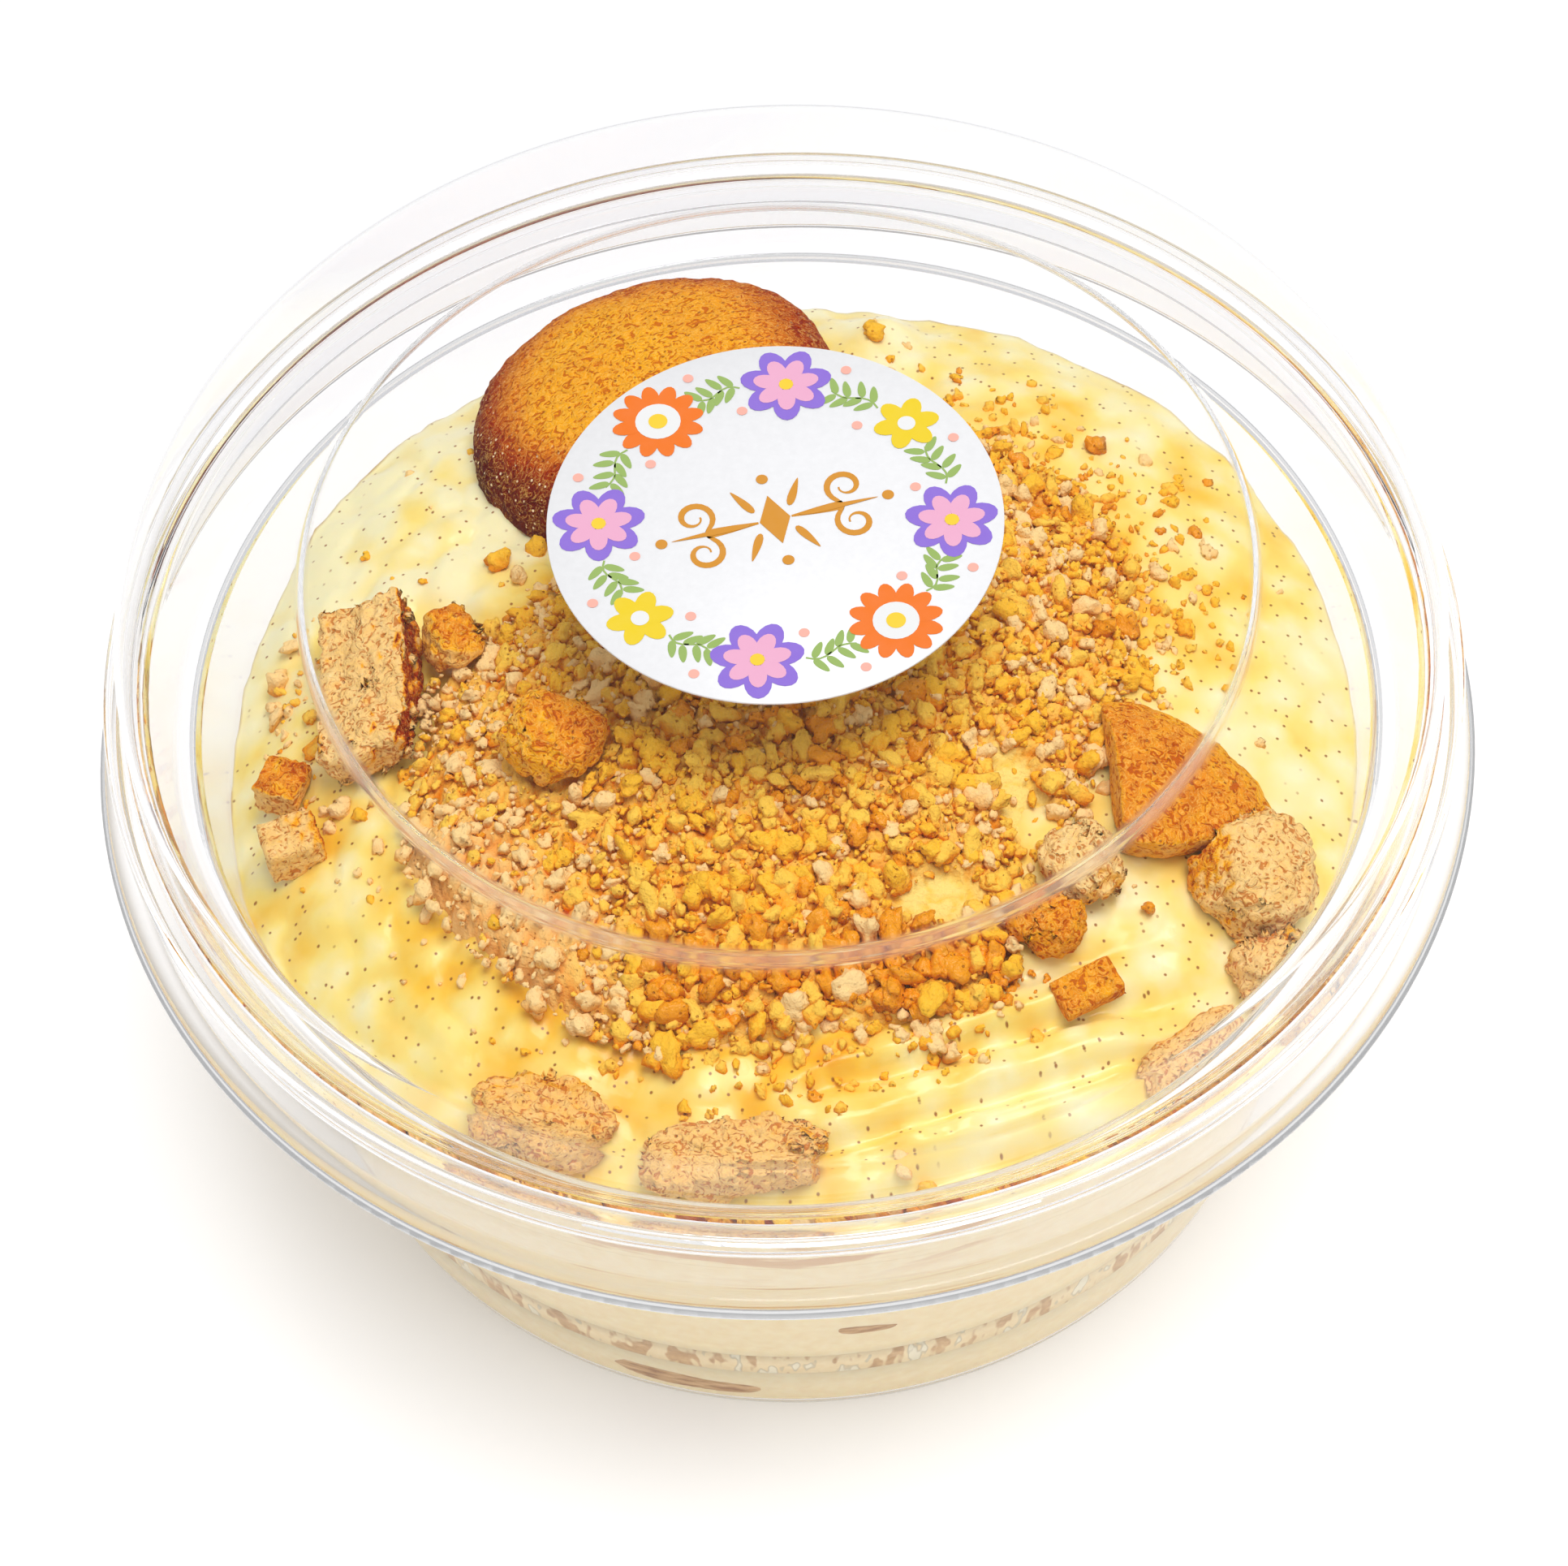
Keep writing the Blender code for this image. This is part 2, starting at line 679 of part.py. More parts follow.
def make_heap(collection, crumb, counts, obstacles):
    mesh = grid_solid("crumb_heap", heap_top, lambda x, y: pudding_height(x, y) + GAP, counts)
    heap = add_mesh_object("crumb_heap", mesh, collection, crumb)
    draw = random.Random(11)
    margin = 2.6

    def accepts(place):
        limit = look_up_at(HEAP_RADII, *place)
        return math.hypot(*place) < limit - margin and clear_of(place, obstacles, HEAP_GRAIN_SIZE[1])

    places = [(x, y, heap_top(x, y), draw.uniform(*HEAP_GRAIN_SIZE))
              for x, y in spread_places(HEAP_GRAINS, draw, accepts, margin)]
    fuse_grains(heap, places, 0.15, crumb, draw)
    return heap


# Filling

def disc_slab(name, low, high, collection, surface, jag=0.0):
    """A layer of the filling between two heights, out to the wall."""
    draw = random.Random(7)
    insets = [jag * draw.random() for _ in range(SIDES)]
    points, faces = [], []
    for height in (low, high):
        for (x, y, z), inset in zip(circle_points(1.0, height), insets):
            reach = wall_radius(height) - GAP - inset
            points.append((x * reach, y * reach, z))
    faces.append(list(reversed(range(SIDES))))
    faces.append(list(range(SIDES, 2 * SIDES)))
    for side in range(SIDES):
        after = (side + 1) % SIDES
        faces.append((side, after, SIDES + after, SIDES + side))
    return add_mesh_object(name, mesh_from(name, points, faces), collection, surface)


def make_pudding(collection, surface, sides, obstacles):
    """The pudding under and over the wafer layer, with room for the pieces at the wall."""
    ceiling = LAYER_BOTTOM - GAP
    profile = [(0.0, ceiling), (wall_radius(ceiling) - GAP, ceiling),
               (wall_radius(BASE_CORNER) - GAP, BASE_CORNER + GAP),
               (wall_radius(BASE_CORNER) - BASE_CORNER + CUP_WALL, FLOOR_TOP), (0.0, FLOOR_TOP)]
    bottom = turned("pudding_bottom", profile, collection, surface)
    cut_clear_of(bottom, sides[0])
    rim = circle_points(wall_radius(LAYER_TOP + GAP) - GAP, LAYER_TOP + GAP)
    mesh = grid_solid("pudding_top", pudding_height, None, [RINGS] * SIDES, rim)
    top = add_mesh_object("pudding_top", mesh, collection, surface)
    cut_clear_of(top, sides[1])
    draw = random.Random(23)
    margin = 2.2

    def accepts(place):
        limit = look_up_at(HEAP_RADII, *place)
        return math.hypot(*place) > limit + margin and clear_of(place, obstacles, margin)

    places = [(x, y, pudding_height(x, y), draw.uniform(*LOOSE_GRAIN_SIZE))
              for x, y in spread_places(LOOSE_GRAINS, draw, accepts, 4.0)]
    fuse_grains(top, places, 0.25, surface, draw)
    return bottom, top


def main():
    for item in list(bpy.data.objects):
        bpy.data.objects.remove(item)
    parts = new_collection("banana_pudding")
    tools = new_collection("cutters")
    pudding_look = material("pudding", (0.93, 0.78, 0.42), 0.35)
    crust_look = material("wafer_crust", (0.62, 0.30, 0.07), 0.7)
    crumb_look = material("wafer_crumb", (0.78, 0.55, 0.27), 0.85)

    make_cup(parts)
    make_lid(parts)
    make_label(parts)

    counts = heap_cells()
    ground = make_ground_cutter(counts, tools, crumb_look)
    room = make_room_cutter(tools, crumb_look)
    wafers = make_loose_wafers(parts, crust_look, crumb_look)
    fit_together(wafers, ground, room)
    obstacles = outlines(wafers)
    sides = make_side_wafers(parts, crust_look, room)

    disc_slab("wafer_layer", LAYER_BOTTOM, LAYER_TOP, parts, crumb_look, jag=0.8)
    make_pudding(parts, pudding_look, sides, obstacles)
    make_heap(parts, crumb_look, counts, obstacles)


main()
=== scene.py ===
"""Looks of the banana pudding cup: clear cup and lid, printed label, pudding, crumbs, wafers.

Sizes are in millimetres in the frame of the CAD, and become metres when a mesh is made.
Angles in tables are in degrees from +X, seen from above. -Y is the front.
"""
import math
import random
from math import cos, exp, hypot, pi, radians, sin, sqrt

import bmesh
import bpy
import numpy as np
from mathutils import Euler, Matrix, Vector, noise
from mathutils.bvhtree import BVHTree


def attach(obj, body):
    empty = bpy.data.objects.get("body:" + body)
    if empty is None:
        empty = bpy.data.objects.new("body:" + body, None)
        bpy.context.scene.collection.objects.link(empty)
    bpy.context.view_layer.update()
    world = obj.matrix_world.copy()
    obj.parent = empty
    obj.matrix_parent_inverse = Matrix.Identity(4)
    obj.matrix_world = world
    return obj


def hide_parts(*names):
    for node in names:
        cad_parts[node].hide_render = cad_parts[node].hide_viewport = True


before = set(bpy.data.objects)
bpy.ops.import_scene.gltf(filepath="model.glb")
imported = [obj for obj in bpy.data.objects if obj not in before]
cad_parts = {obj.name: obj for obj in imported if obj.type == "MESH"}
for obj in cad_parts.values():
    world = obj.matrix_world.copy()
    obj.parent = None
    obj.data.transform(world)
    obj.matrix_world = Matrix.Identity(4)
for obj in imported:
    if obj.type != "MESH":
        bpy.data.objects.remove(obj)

MM = 0.001
WHITE, BLACK = (1, 1, 1, 1), (0, 0, 0, 1)
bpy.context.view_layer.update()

# Camera, fitted to the circles of the cup in the photo
CAMERA_ELEVATION = 54.2
CAMERA_DISTANCE = 420.0
CAMERA_TARGET = (-0.4, 0.0, 33.7)
CAMERA_LENS = 110.87
CAMERA_ROLL = -3.0

# Light: the surround is weaker for what it lights, and dark where the lid mirrors it
SKY_STRENGTH = 0.86
SKY_HELD_BACK = 0.32
PATCH_COLOUR = (0.1, 0.105, 0.115, 1)
PATCH_EDGE = (0.92, 0.97)       # cosines of the angle from its middle
PATCH_DEPTH = 3.5               # bounces after which the patch is weaker
PATCH_LATER = 0.45              # how much of it is left then
KEY_LAMP = ((0.13, -0.06, 0.9), 0.46, 5.7)  # place and size in metres, watts
CYCLES = {"max_bounces": 9, "transmission_bounces": 9, "glossy_bounces": 9, "diffuse_bounces": 3,
          "transparent_max_bounces": 16, "adaptive_threshold": 0.1, "use_light_tree": False,
          "caustics_reflective": False, "caustics_refractive": False,
          "sample_clamp_indirect": 6.0, "use_denoising": True}

# Cup and lid: outlines of (radius, height, rounding), from the axis outwards
TURN_SIDES = 192
CUP_OUTLINE = ((51.2, 46.3, 0.5), (53.4, 51.8, 0.7), (55.1, 51.8, 0.5), (55.1, 48.6, 0))
CUP_WALL = 0.8
BASE_RADIUS = 43.3
RIM_RADIUS = 49.6
RIM_HEIGHT = 46.0
LID_WALL = 0.4
PLATEAU_HEIGHT = 65.4
LID_OUTLINE = ((0.0, PLATEAU_HEIGHT, 0), (39.1, PLATEAU_HEIGHT, 0.45), (39.4, 64.15, 0.3),
               (54.95, 62.7, 3.0), (55.1, 53.0, 0.6), (57.0, 52.8, 0.8), (57.0, 49.8, 0.6),
               (56.3, 49.3, 0.3), (56.3, 43.3, 0.6), (58.5, 43.3, 0))
FROST_RING = (38.5, 38.8, 39.45, 39.7)  # starts, full from, full to, ends
FROST_BLUR = 0.12
# How much the frosted ring is whitened: a painted highlight.
PAINTED_RING_HIGHLIGHT = 0.1
TRAPPED_DEPTH = 5.5             # bounces after which light leaves the plastic straight
SEATING = 0.15                  # how far the filling reaches into the wall

# Label
LABEL_RADIUS = 18.8
LABEL_CENTRE = (0.0, 3.6)
LABEL_TURN = 12.0
LABEL_BOTTOM = PLATEAU_HEIGHT + 0.05
LABEL_TOP = PLATEAU_HEIGHT + 0.25
INK_STEP = 0.02                 # each ink lies this much over the one before
WREATH_RADIUS = 14.5
GOLD = (206, 138, 26)

# Filling
LAYER_BOTTOM = 8.5
LAYER_TOP = 12.5
FLOOR_TOP = 0.8
CROWN_HEIGHT = 48.0
WALL_LEVELS = {-180: 36.5, -150: 37.5, -120: 39.0, -90: 39.5, -60: 39.5,
               -30: 40.5, 0: 40.0, 45: 41.0, 90: 40.0, 135: 39.5, 180: 36.5}
STROKE_CENTRE = (16.0, -38.0)
STROKE_SPREAD = (17.0, 8.0)
STROKE_ANGLE = radians(16)
STROKE_SPACING = 4.4
STROKE_DEPTH = 0.7
# The lumps' low edges are deeper yellow, as painted shade.
PUDDING_LUMP = 4.2              # size of the soft pale lumps in colour
CURD_SIZE = 4.4                 # and in shape
PEAKS = (((26.5, -36.5), 1.6, 3.0), ((10.5, 43.0), 2.4, 3.4))  # place, height, width
HEAP_RADII = {-180: 31, -150: 36, -115: 37, -85: 36, -62: 35, -45: 27, -20: 28, 0: 30,
              30: 33, 55: 32, 75: 22, 95: 13, 130: 14, 155: 24, 180: 31}
HEAP_HEIGHT = 5.6
HEAP_EDGE = 0.9
CRUMB_REACH = 45.0              # how far from the middle crumbs lie
WALL_GAP = 1.5                  # how far from the wall they stay
CRUMB_SHAPES = {"coarse": (260, 18), "fine": (76, 26), "dust": (36, 8)}  # triangles, count
FUSED_BANDS = (((-28, -20), (15, 6.5), -42),)       # middle, reach, turn
BARE_BANDS = (((19.3, -13.8), (7.0, 2.3), -72), ((11.6, -23.2), (4.4, 2.6), 8),
              ((3.0, -35.0), (14.0, 2.2), 4))
# Little groups of crumbs at the front: middle x and y, spread, count
CLUSTERS = ((1.4, -33.8, 2.6, 30), (-6.8, -33.0, 1.8, 16), (9.5, -33.2, 2.0, 14))
# The dark colour also paints shade low on each crumb and in its pits.
CRUMB_FINISH = {                # roughness, specular level, dark, middle and light colour
    "pale": (0.7, 0.06, (226, 140, 48), (246, 180, 88), (255, 216, 148)),
    "golden": (0.65, 0.06, (204, 96, 0), (252, 154, 6), (255, 204, 78)),
    "amber": (0.5, 0.12, (190, 88, 0), (242, 144, 0), (255, 194, 50)),
    "brown": (0.3, 0.3, (166, 76, 0), (214, 116, 0), (244, 158, 16))}
# Single crumbs of each kind: x, y, radius
BITS = {
    "amber": ((-24.2, 15.2, 1.5), (-20.7, 16.5, 1.3), (-2.6, -42.3, 1.0), (10.0, 40.7, 1.4),
              (34.5, 4.9, 1.2), (-36.2, -8.6, 1.1), (-8.8, -28.8, 1.5), (15.6, -31.4, 1.5),
              (22.4, -18.2, 1.4)),
    "pale": ((-22.4, 13.6, 1.2), (-3.2, -40.6, 1.2), (7.6, -44.9, 1.1), (-43.8, 8.8, 1.6),
             (-44.0, 5.2, 1.4), (-42.6, 12.0, 1.4), (-38.0, -7.4, 1.5), (25.8, -9.2, 1.5),
             (23.6, -12.6, 1.4), (24.4, -14.8, 1.2)),
    "golden": ((9.3, -45.4, 1.1), (-40.4, -0.4, 1.5), (-40.8, 3.2, 1.2), (0.9, -33.2, 1.5),
               (-1.2, -33.6, 1.3), (-6.4, -33.4, 1.5), (-8.6, -32.2, 1.3)),
    "brown": ((28.6, 26.2, 1.6), (7.6, -31.2, 1.9), (9.6, -33.0, 1.7), (2.4, -30.8, 1.6),
              (-3.4, -29.6, 1.5), (29.0, -23.2, 1.1))}

# Wafers
CRINKLE = 0.75                  # size of the creases in the baked surface
WAFER_RADIUS = 16.7
WAFER_THICKNESS = 8.6
WAFER_PLACE = (-9.7, 30.0)
WAFER_SINK = 0.9
WAFER_TURN = (-11.0, -12.0, 0.0)
# CAD node, direction its crust faces, how baked crust and crumb are, crumbling, softening
FRAGMENTS = (
    ("wafer_left", (0.94, 0.0, 0.25), 0.84, 0.08, 0.55, 50),
    ("wafer_right", (0.1, -0.1, 1.0), 0.6, 0.36, 0.15, 12),
    ("wafer_centre", (0.5, -0.2, 0.8), 0.6, 0.4, 0.45, 5),
    ("wafer_left_small", (0.2, 0.3, 1.0), 0.62, 0.3, 0.5, 5),
    ("wafer_right_lump", (-0.9, 0.5, 0.3), 0.62, 0.1, 0.5, 5),
    ("wafer_right_low", (0.0, 0.0, -1.0), 0.4, 0.1, 0.7, 3),
    ("wafer_pale", (0.3, -0.8, -0.2), 0.34, 0.02, 0.7, 3),
    ("wafer_clump", (0.0, -0.5, 1.0), 0.6, 0.46, 0.6, 3),
    ("wafer_wall_right", (-0.5, 0.9, 0.1), 0.34, 0.14, 0.6, 3),
    ("wafer_front_left", (0.2, 0.9, 0.1), 0.42, 0.26, 0.6, 5),
    ("wafer_front", (1.0, 0.1, 0.0), 0.5, 0.2, 0.6, 5),
    ("wafer_left_block", (0.3, 0.0, 0.9), 0.66, 0.2, 0.3, 3),
    ("wafer_left_block_low", (0.9, 0.2, 0.3), 0.66, 0.14, 0.3, 3),
    ("wafer_tablet", (0.0, -0.2, 1.0), 0.54, 0.58, 0.06, 8),
)
# Small blocks that broke squarely: how far they are turned about Z, in degrees
SQUARE_BLOCKS = {"wafer_left_block": 24, "wafer_left_block_low": -18}


# Small helpers

def srgb(red, green, blue):
    """A colour given in 0 to 255 screen values, as the linear values shaders take."""
    def linear(value):
        value /= 255
        return value / 12.92 if value <= 0.04045 else ((value + 0.055) / 1.055) ** 2.4
    return (linear(red), linear(green), linear(blue), 1.0)


def ease(low, high, value):
    """0 up to low and 1 from high on, eased between them."""
    share = min(1.0, max(0.0, (value - low) / (high - low)))
    return share * share * (3 - 2 * share)


def polar(reach, angle):
    """The place at a distance from the middle and an angle in radians."""
    return reach * cos(angle), reach * sin(angle)


def rotated(x, y, angle):
    """A place in the plan turned about the middle by an angle in radians."""
    cosine, sine = cos(angle), sin(angle)
    return x * cosine - y * sine, x * sine + y * cosine


def look_up(table, degrees):
    """Value at an angle, eased between the table's entries."""
    degrees = (degrees + 180) % 360 - 180
    angles = sorted(table)
    for low, high in zip(angles, angles[1:]):
        if degrees <= high:
            share = (1 - cos(pi * (degrees - low) / (high - low))) / 2
            return table[low] + (table[high] - table[low]) * share
    return table[angles[-1]]


def look_up_at(table, x, y):
    return look_up(table, math.degrees(math.atan2(y, x)))


def bumps(x, y, frequency, seed=0.0):
    """Smooth noise from about -1 to 1 over the plan, frequency in waves per millimetre."""
    return noise.noise(Vector((x * frequency, y * frequency, seed)))


def bumps_at(place, frequency, seed=0.0):
    """The same noise in space."""
    return noise.noise(place * frequency + Vector((seed, seed * 1.7, seed * 2.3)))


def add_object(name, mesh, look=None):
    item = bpy.data.objects.new(name, mesh)
    if look:
        mesh.materials.clear()
        mesh.materials.append(look)
    bpy.context.scene.collection.objects.link(item)
    return item


def mesh_from(name, points, faces):
    mesh = bpy.data.meshes.new(name)
    mesh.from_pydata(np.asarray(points, dtype=float) * MM, [], faces)
    mesh.shade_smooth()
    mesh.update()
    return mesh


def store(item, **attributes):
    """Store numbers for each point of an item's mesh, for its material to read."""
    for name, values in attributes.items():
        layer = item.data.attributes.new(name, "FLOAT", "POINT")
        layer.data.foreach_set("value", np.asarray(values, dtype=np.float32))


def add_modifier(item, kind, **settings):
    modifier = item.modifiers.new(kind.title(), kind)
    for name, value in settings.items():
        setattr(modifier, name, value)


def apply_modifiers(item):
    bpy.context.view_layer.update()
    graph = bpy.context.evaluated_depsgraph_get()
    mesh = bpy.data.meshes.new_from_object(item.evaluated_get(graph))
    item.modifiers.clear()
    item.data = mesh


def settle(item, slot, *nodes):
    """Put a piece on the part's body, in place of CAD nodes; the slot is not used."""
    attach(item, "root")
    if nodes:
        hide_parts(*nodes)


# Shader helpers

def is_output(value):
    return isinstance(value, bpy.types.NodeSocket)


def feed(socket, value):
    """Link another node's output to a socket, or set the socket to a value."""
    if is_output(value):
        socket.id_data.links.new(value, socket)
    else:
        socket.default_value = value


def feed_all(made, **inputs):
    """Link or set inputs of a node by their names, with _ for a space."""
    for name, value in inputs.items():
        feed(made.inputs[name.replace("_", " ")], value)
    return made


def node(tree, kind, settings=None, **inputs):
    made = tree.nodes.new("ShaderNode" + kind)
    for name, value in (settings or {}).items():
        setattr(made, name, value)
    return feed_all(made, **inputs)


def principled(name, **inputs):
    """A material with its node tree and its main shader."""
    made = bpy.data.materials.new(name)
    made.use_nodes = True
    shader = made.node_tree.nodes["Principled BSDF"]
    return made, made.node_tree, feed_all(shader, **inputs)


def ramp(factor, *stops):
    """Colours spread along a factor; each stop is (position, colour).

    A colour of three numbers is in screen values, one of four in linear ones.
    """
    made = node(factor.id_data, "ValToRGB", Fac=factor)
    points = made.color_ramp.elements
    while len(points) < len(stops):
        points.new(0.5)
    for point, (position, colour) in zip(points, stops):
        point.position, point.color = position, srgb(*colour) if len(colour) == 3 else colour
    return made.outputs["Color"]


def rising(factor, low, high):
    """0 up to low and 1 from high on."""
    return ramp(factor, (low, BLACK), (high, WHITE))


def falling(factor, low, high):
    """1 up to low and 0 from high on."""
    return ramp(factor, (low, WHITE), (high, BLACK))


def mix(factor, first, second, kind="MIX"):
    values = factor, first, second
    tree = next(value.id_data for value in values if is_output(value))
    made = node(tree, "Mix", {"data_type": "RGBA", "blend_type": kind})
    for index, value in zip((0, 6, 7), values):
        feed(made.inputs[index], value)
    return made.outputs[2]


def calculated(operation, first, second, clamped=False):
    tree = (first if is_output(first) else second).id_data
    made = node(tree, "Math", {"operation": operation, "use_clamp": clamped})
    feed(made.inputs[0], first)
    feed(made.inputs[1], second)
    return made.outputs[0]


def times(first, second):
    return calculated("MULTIPLY", first, second)


def plus(first, second):
    return calculated("ADD", first, second)


def minus(first, second):
    """The difference, from 0 to 1."""
    return calculated("SUBTRACT", first, second, clamped=True)


def larger(first, second):
    return calculated("MAXIMUM", first, second)


def grain(place, size, detail=2.0, roughness=0.5):
    """Noise from 0 to 1 whose features are about a size in millimetres."""
    return node(place.id_data, "TexNoise", Vector=place, Scale=1 / (size * MM), Detail=detail,
                Roughness=roughness).outputs["Fac"]


def cells(place, size, space="3D"):
    """Distance to the nearest of points spread about a size in millimetres apart."""
    return node(place.id_data, "TexVoronoi", {"voronoi_dimensions": space}, Vector=place,
                Scale=1 / (size * MM)).outputs["Distance"]


def attribute(tree, name):
    return node(tree, "Attribute", {"attribute_name": name}).outputs["Fac"]


def object_place(tree):
    return node(tree, "TexCoord").outputs["Object"]


def up(place):
    return node(place.id_data, "SeparateXYZ", Vector=place).outputs["Z"]


def squeezed(place, scale):
    """Coordinates that stretch what is drawn on them where the scale is under 1."""
    return node(place.id_data, "Mapping", Vector=place, Scale=scale).outputs["Vector"]


def around_wall(tree):
    """Coordinates on the cup's side: round it, up it."""
    parts = node(tree, "SeparateXYZ", Vector=object_place(tree)).outputs
    angle = calculated("ARCTAN2", parts["Y"], parts["X"])
    return node(tree, "CombineXYZ", X=times(angle, BASE_RADIUS * MM),
                Y=parts["Z"]).outputs["Vector"]


def bump(height, strength, depth):
    """A bump map; depth is the relief's height in millimetres."""
    return node(height.id_data, "Bump", Height=height, Strength=strength,
                Distance=depth * MM).outputs["Normal"]


# Materials

def clear_plastic(name):
    """Thin clear plastic that lamps shine through without a shadow.

    Light that has gone back and forth in a wall many times leaves it straight, so that no
    edge turns black. The point attribute frost blurs tight corners, and whitens them as a
    painted highlight.
    """
    made, tree, shader = principled(name, Base_Color=(0.98, 0.98, 0.985, 1), IOR=1.36,
                                    Specular_IOR_Level=0.12, Transmission_Weight=1.0)
    frost = attribute(tree, "frost")
    scuffs = ramp(grain(object_place(tree), 6.0), (0.62, BLACK), (0.72, (0.03, 0.03, 0.03, 1)))
    # The ring's whitening, through less transmission, is a painted highlight; its blur is real
    # roughness.
    feed_all(shader, Roughness=plus(times(frost, FROST_BLUR), scuffs),
             Transmission_Weight=minus(1.0, times(frost, PAINTED_RING_HIGHLIGHT)))
    path = node(tree, "LightPath").outputs
    trapped = calculated("GREATER_THAN", path["Ray Depth"], TRAPPED_DEPTH)
    passing = larger(larger(path["Is Shadow Ray"], path["Is Diffuse Ray"]), trapped)
    open_way = node(tree, "BsdfTransparent", Color=(0.985, 0.985, 0.985, 1.0))
    joined = node(tree, "MixShader", Fac=passing)
    feed(joined.inputs[1], shader.outputs["BSDF"])
    feed(joined.inputs[2], open_way.outputs["BSDF"])
    feed_all(tree.nodes["Material Output"], Surface=joined.outputs["Shader"])
    return made


def bent_place(place):
    """Coordinates that wander by a few millimetres, so that cells on them look natural."""
    tree = place.id_data
    wander = node(tree, "TexNoise", Vector=place, Scale=160.0, Detail=2.0).outputs["Color"]
    shift = node(tree, "Mapping", Vector=wander, Location=(-0.5,) * 3, Scale=(0.004,) * 3)
    bent = node(tree, "VectorMath", {"operation": "ADD"})
    feed(bent.inputs[0], place)
    feed(bent.inputs[1], shift.outputs["Vector"])
    return bent.outputs["Vector"]


def pudding_look():
    """Moist pale yellow pudding: soft lumps, deeper yellow at their low edges as painted shade,
    and vanilla specks.

    The point attribute warm deepens the yellow near the crumbs, and as painted shade in the
    hollows and seams; side turns it to the cream that shows through the cup's wall.
    """
    made, tree, shader = principled("pudding_look", Roughness=0.33, Subsurface_Weight=0.2,
                                    Subsurface_Radius=(1.0, 0.7, 0.25), Subsurface_Scale=0.0015,
                                    Specular_IOR_Level=0.3, Coat_Weight=0.22, Coat_Roughness=0.13)
    place, side = object_place(tree), attribute(tree, "side")
    lumps = node(tree, "TexVoronoi", {"feature": "SMOOTH_F1", "voronoi_dimensions": "2D"},
                 Vector=bent_place(place), Scale=1 / (PUDDING_LUMP * MM),
                 Smoothness=0.6).outputs["Distance"]
    clouds, fine = grain(place, 9.0, 4.0), grain(place, 1.1, 3.0)
    drift = times(minus(clouds, 0.45), 1.5)
    # The lumps' low edges get a deeper yellow as painted shade.
    depth = plus(plus(attribute(tree, "warm"), drift), times(lumps, 0.5))
    base = ramp(depth, (0.1, (254, 242, 190)), (0.45, (255, 226, 124)),
                (0.75, (252, 200, 60)), (1.0, (242, 168, 20)))
    cream = ramp(fine, (0.3, (250, 224, 174)), (0.7, (255, 234, 190)))
    base = mix(side, base, mix(smears(tree), cream, srgb(220, 172, 116)))
    speck = falling(cells(place, 1.9, "2D"), 0.045, 0.09)
    gathered = rising(clouds, 0.34, 0.46)
    share = times(speck, times(gathered, minus(0.9, side)))
    feed_all(shader, Base_Color=mix(share, base, srgb(150, 84, 4)),
             Normal=bump(minus(times(fine, 0.35), lumps), 0.5, 0.5))
    return made


def smears(tree):
    """Where soaked crumb is smeared on the cup's wall: long streaks near the pudding's top."""
    streaks = rising(grain(squeezed(around_wall(tree), (0.22, 1.0, 1.0)), 2.4), 0.55, 0.61)
    return times(streaks, rising(times(up(object_place(tree)), 20.0), 0.6, 0.7))


def soaked_look():
    """Wafer that lies against the wall: dull tan with darker streaks along it."""
    made, tree, shader = principled("soaked_look", Roughness=0.45, Specular_IOR_Level=0.2)
    streaks = grain(squeezed(around_wall(tree), (0.3, 1.0, 1.0)), 0.7, 3.0, 0.6)
    tan = ramp(streaks, (0.34, (164, 108, 56)), (0.48, (196, 148, 92)), (0.66, (222, 180, 128)))
    feed_all(shader, Base_Color=tan, Normal=bump(streaks, 0.6, 0.2))
    return made


def side_look():
    """The soaked crumb layer at the side: ragged pale and tan bits, upright in the cream."""
    made, tree, shader = principled("layer_look", Roughness=0.35)
    bits = grain(squeezed(around_wall(tree), (1.0, 0.3, 1.0)), 1.9, 2.0, 0.55)
    fine = grain(object_place(tree), 0.9)
    cream = ramp(fine, (0.3, (246, 218, 166)), (0.7, (252, 229, 182)))
    soaked = ramp(fine, (0.3, (196, 146, 88)), (0.7, (226, 184, 128)))
    pale = ramp(bits, (0.36, (250, 238, 208)), (0.42, BLACK))
    lighter = mix(falling(bits, 0.36, 0.42), cream, pale)
    feed_all(shader, Base_Color=mix(rising(bits, 0.53, 0.58), lighter, soaked))
    return made


def crumb_surface(tree, shader, base, dark, pitted=0.6):
    """Give a shader the colour and relief of baked crumb, with painted shade in its fine pits."""
    # Pits are darkened towards the dark colour as painted shade.
    pit_shade = times(falling(cells(object_place(tree), 0.8), 0.09, 0.17), pitted)
    feed_all(shader, Base_Color=mix(pit_shade, base, dark),
             Normal=bump(minus(crumb_grain(tree), times(pit_shade, 0.7)), 1.0, 0.28))


def crumb_grain(tree):
    return grain(object_place(tree), 0.5, 2.0, 0.6)


def crumb_tone(tree, own):
    """How light a crumb is: a share of its stored tone and painted shade, the rest its grain."""
    return plus(times(attribute(tree, "tone"), own), times(crumb_grain(tree), 1 - own))


def crumb_look(kind):
    """Porous baked crumb: each crumb has its own tone, with painted shade low down."""
    roughness, specular, dark, middle, light = CRUMB_FINISH[kind]
    made, tree, shader = principled("crumbs_" + kind, Roughness=roughness,
                                    Specular_IOR_Level=specular)
    base = ramp(crumb_tone(tree, 0.7), (0.16, dark), (0.38, middle), (0.64, light))
    crumb_surface(tree, shader, base, srgb(*dark))
    return made


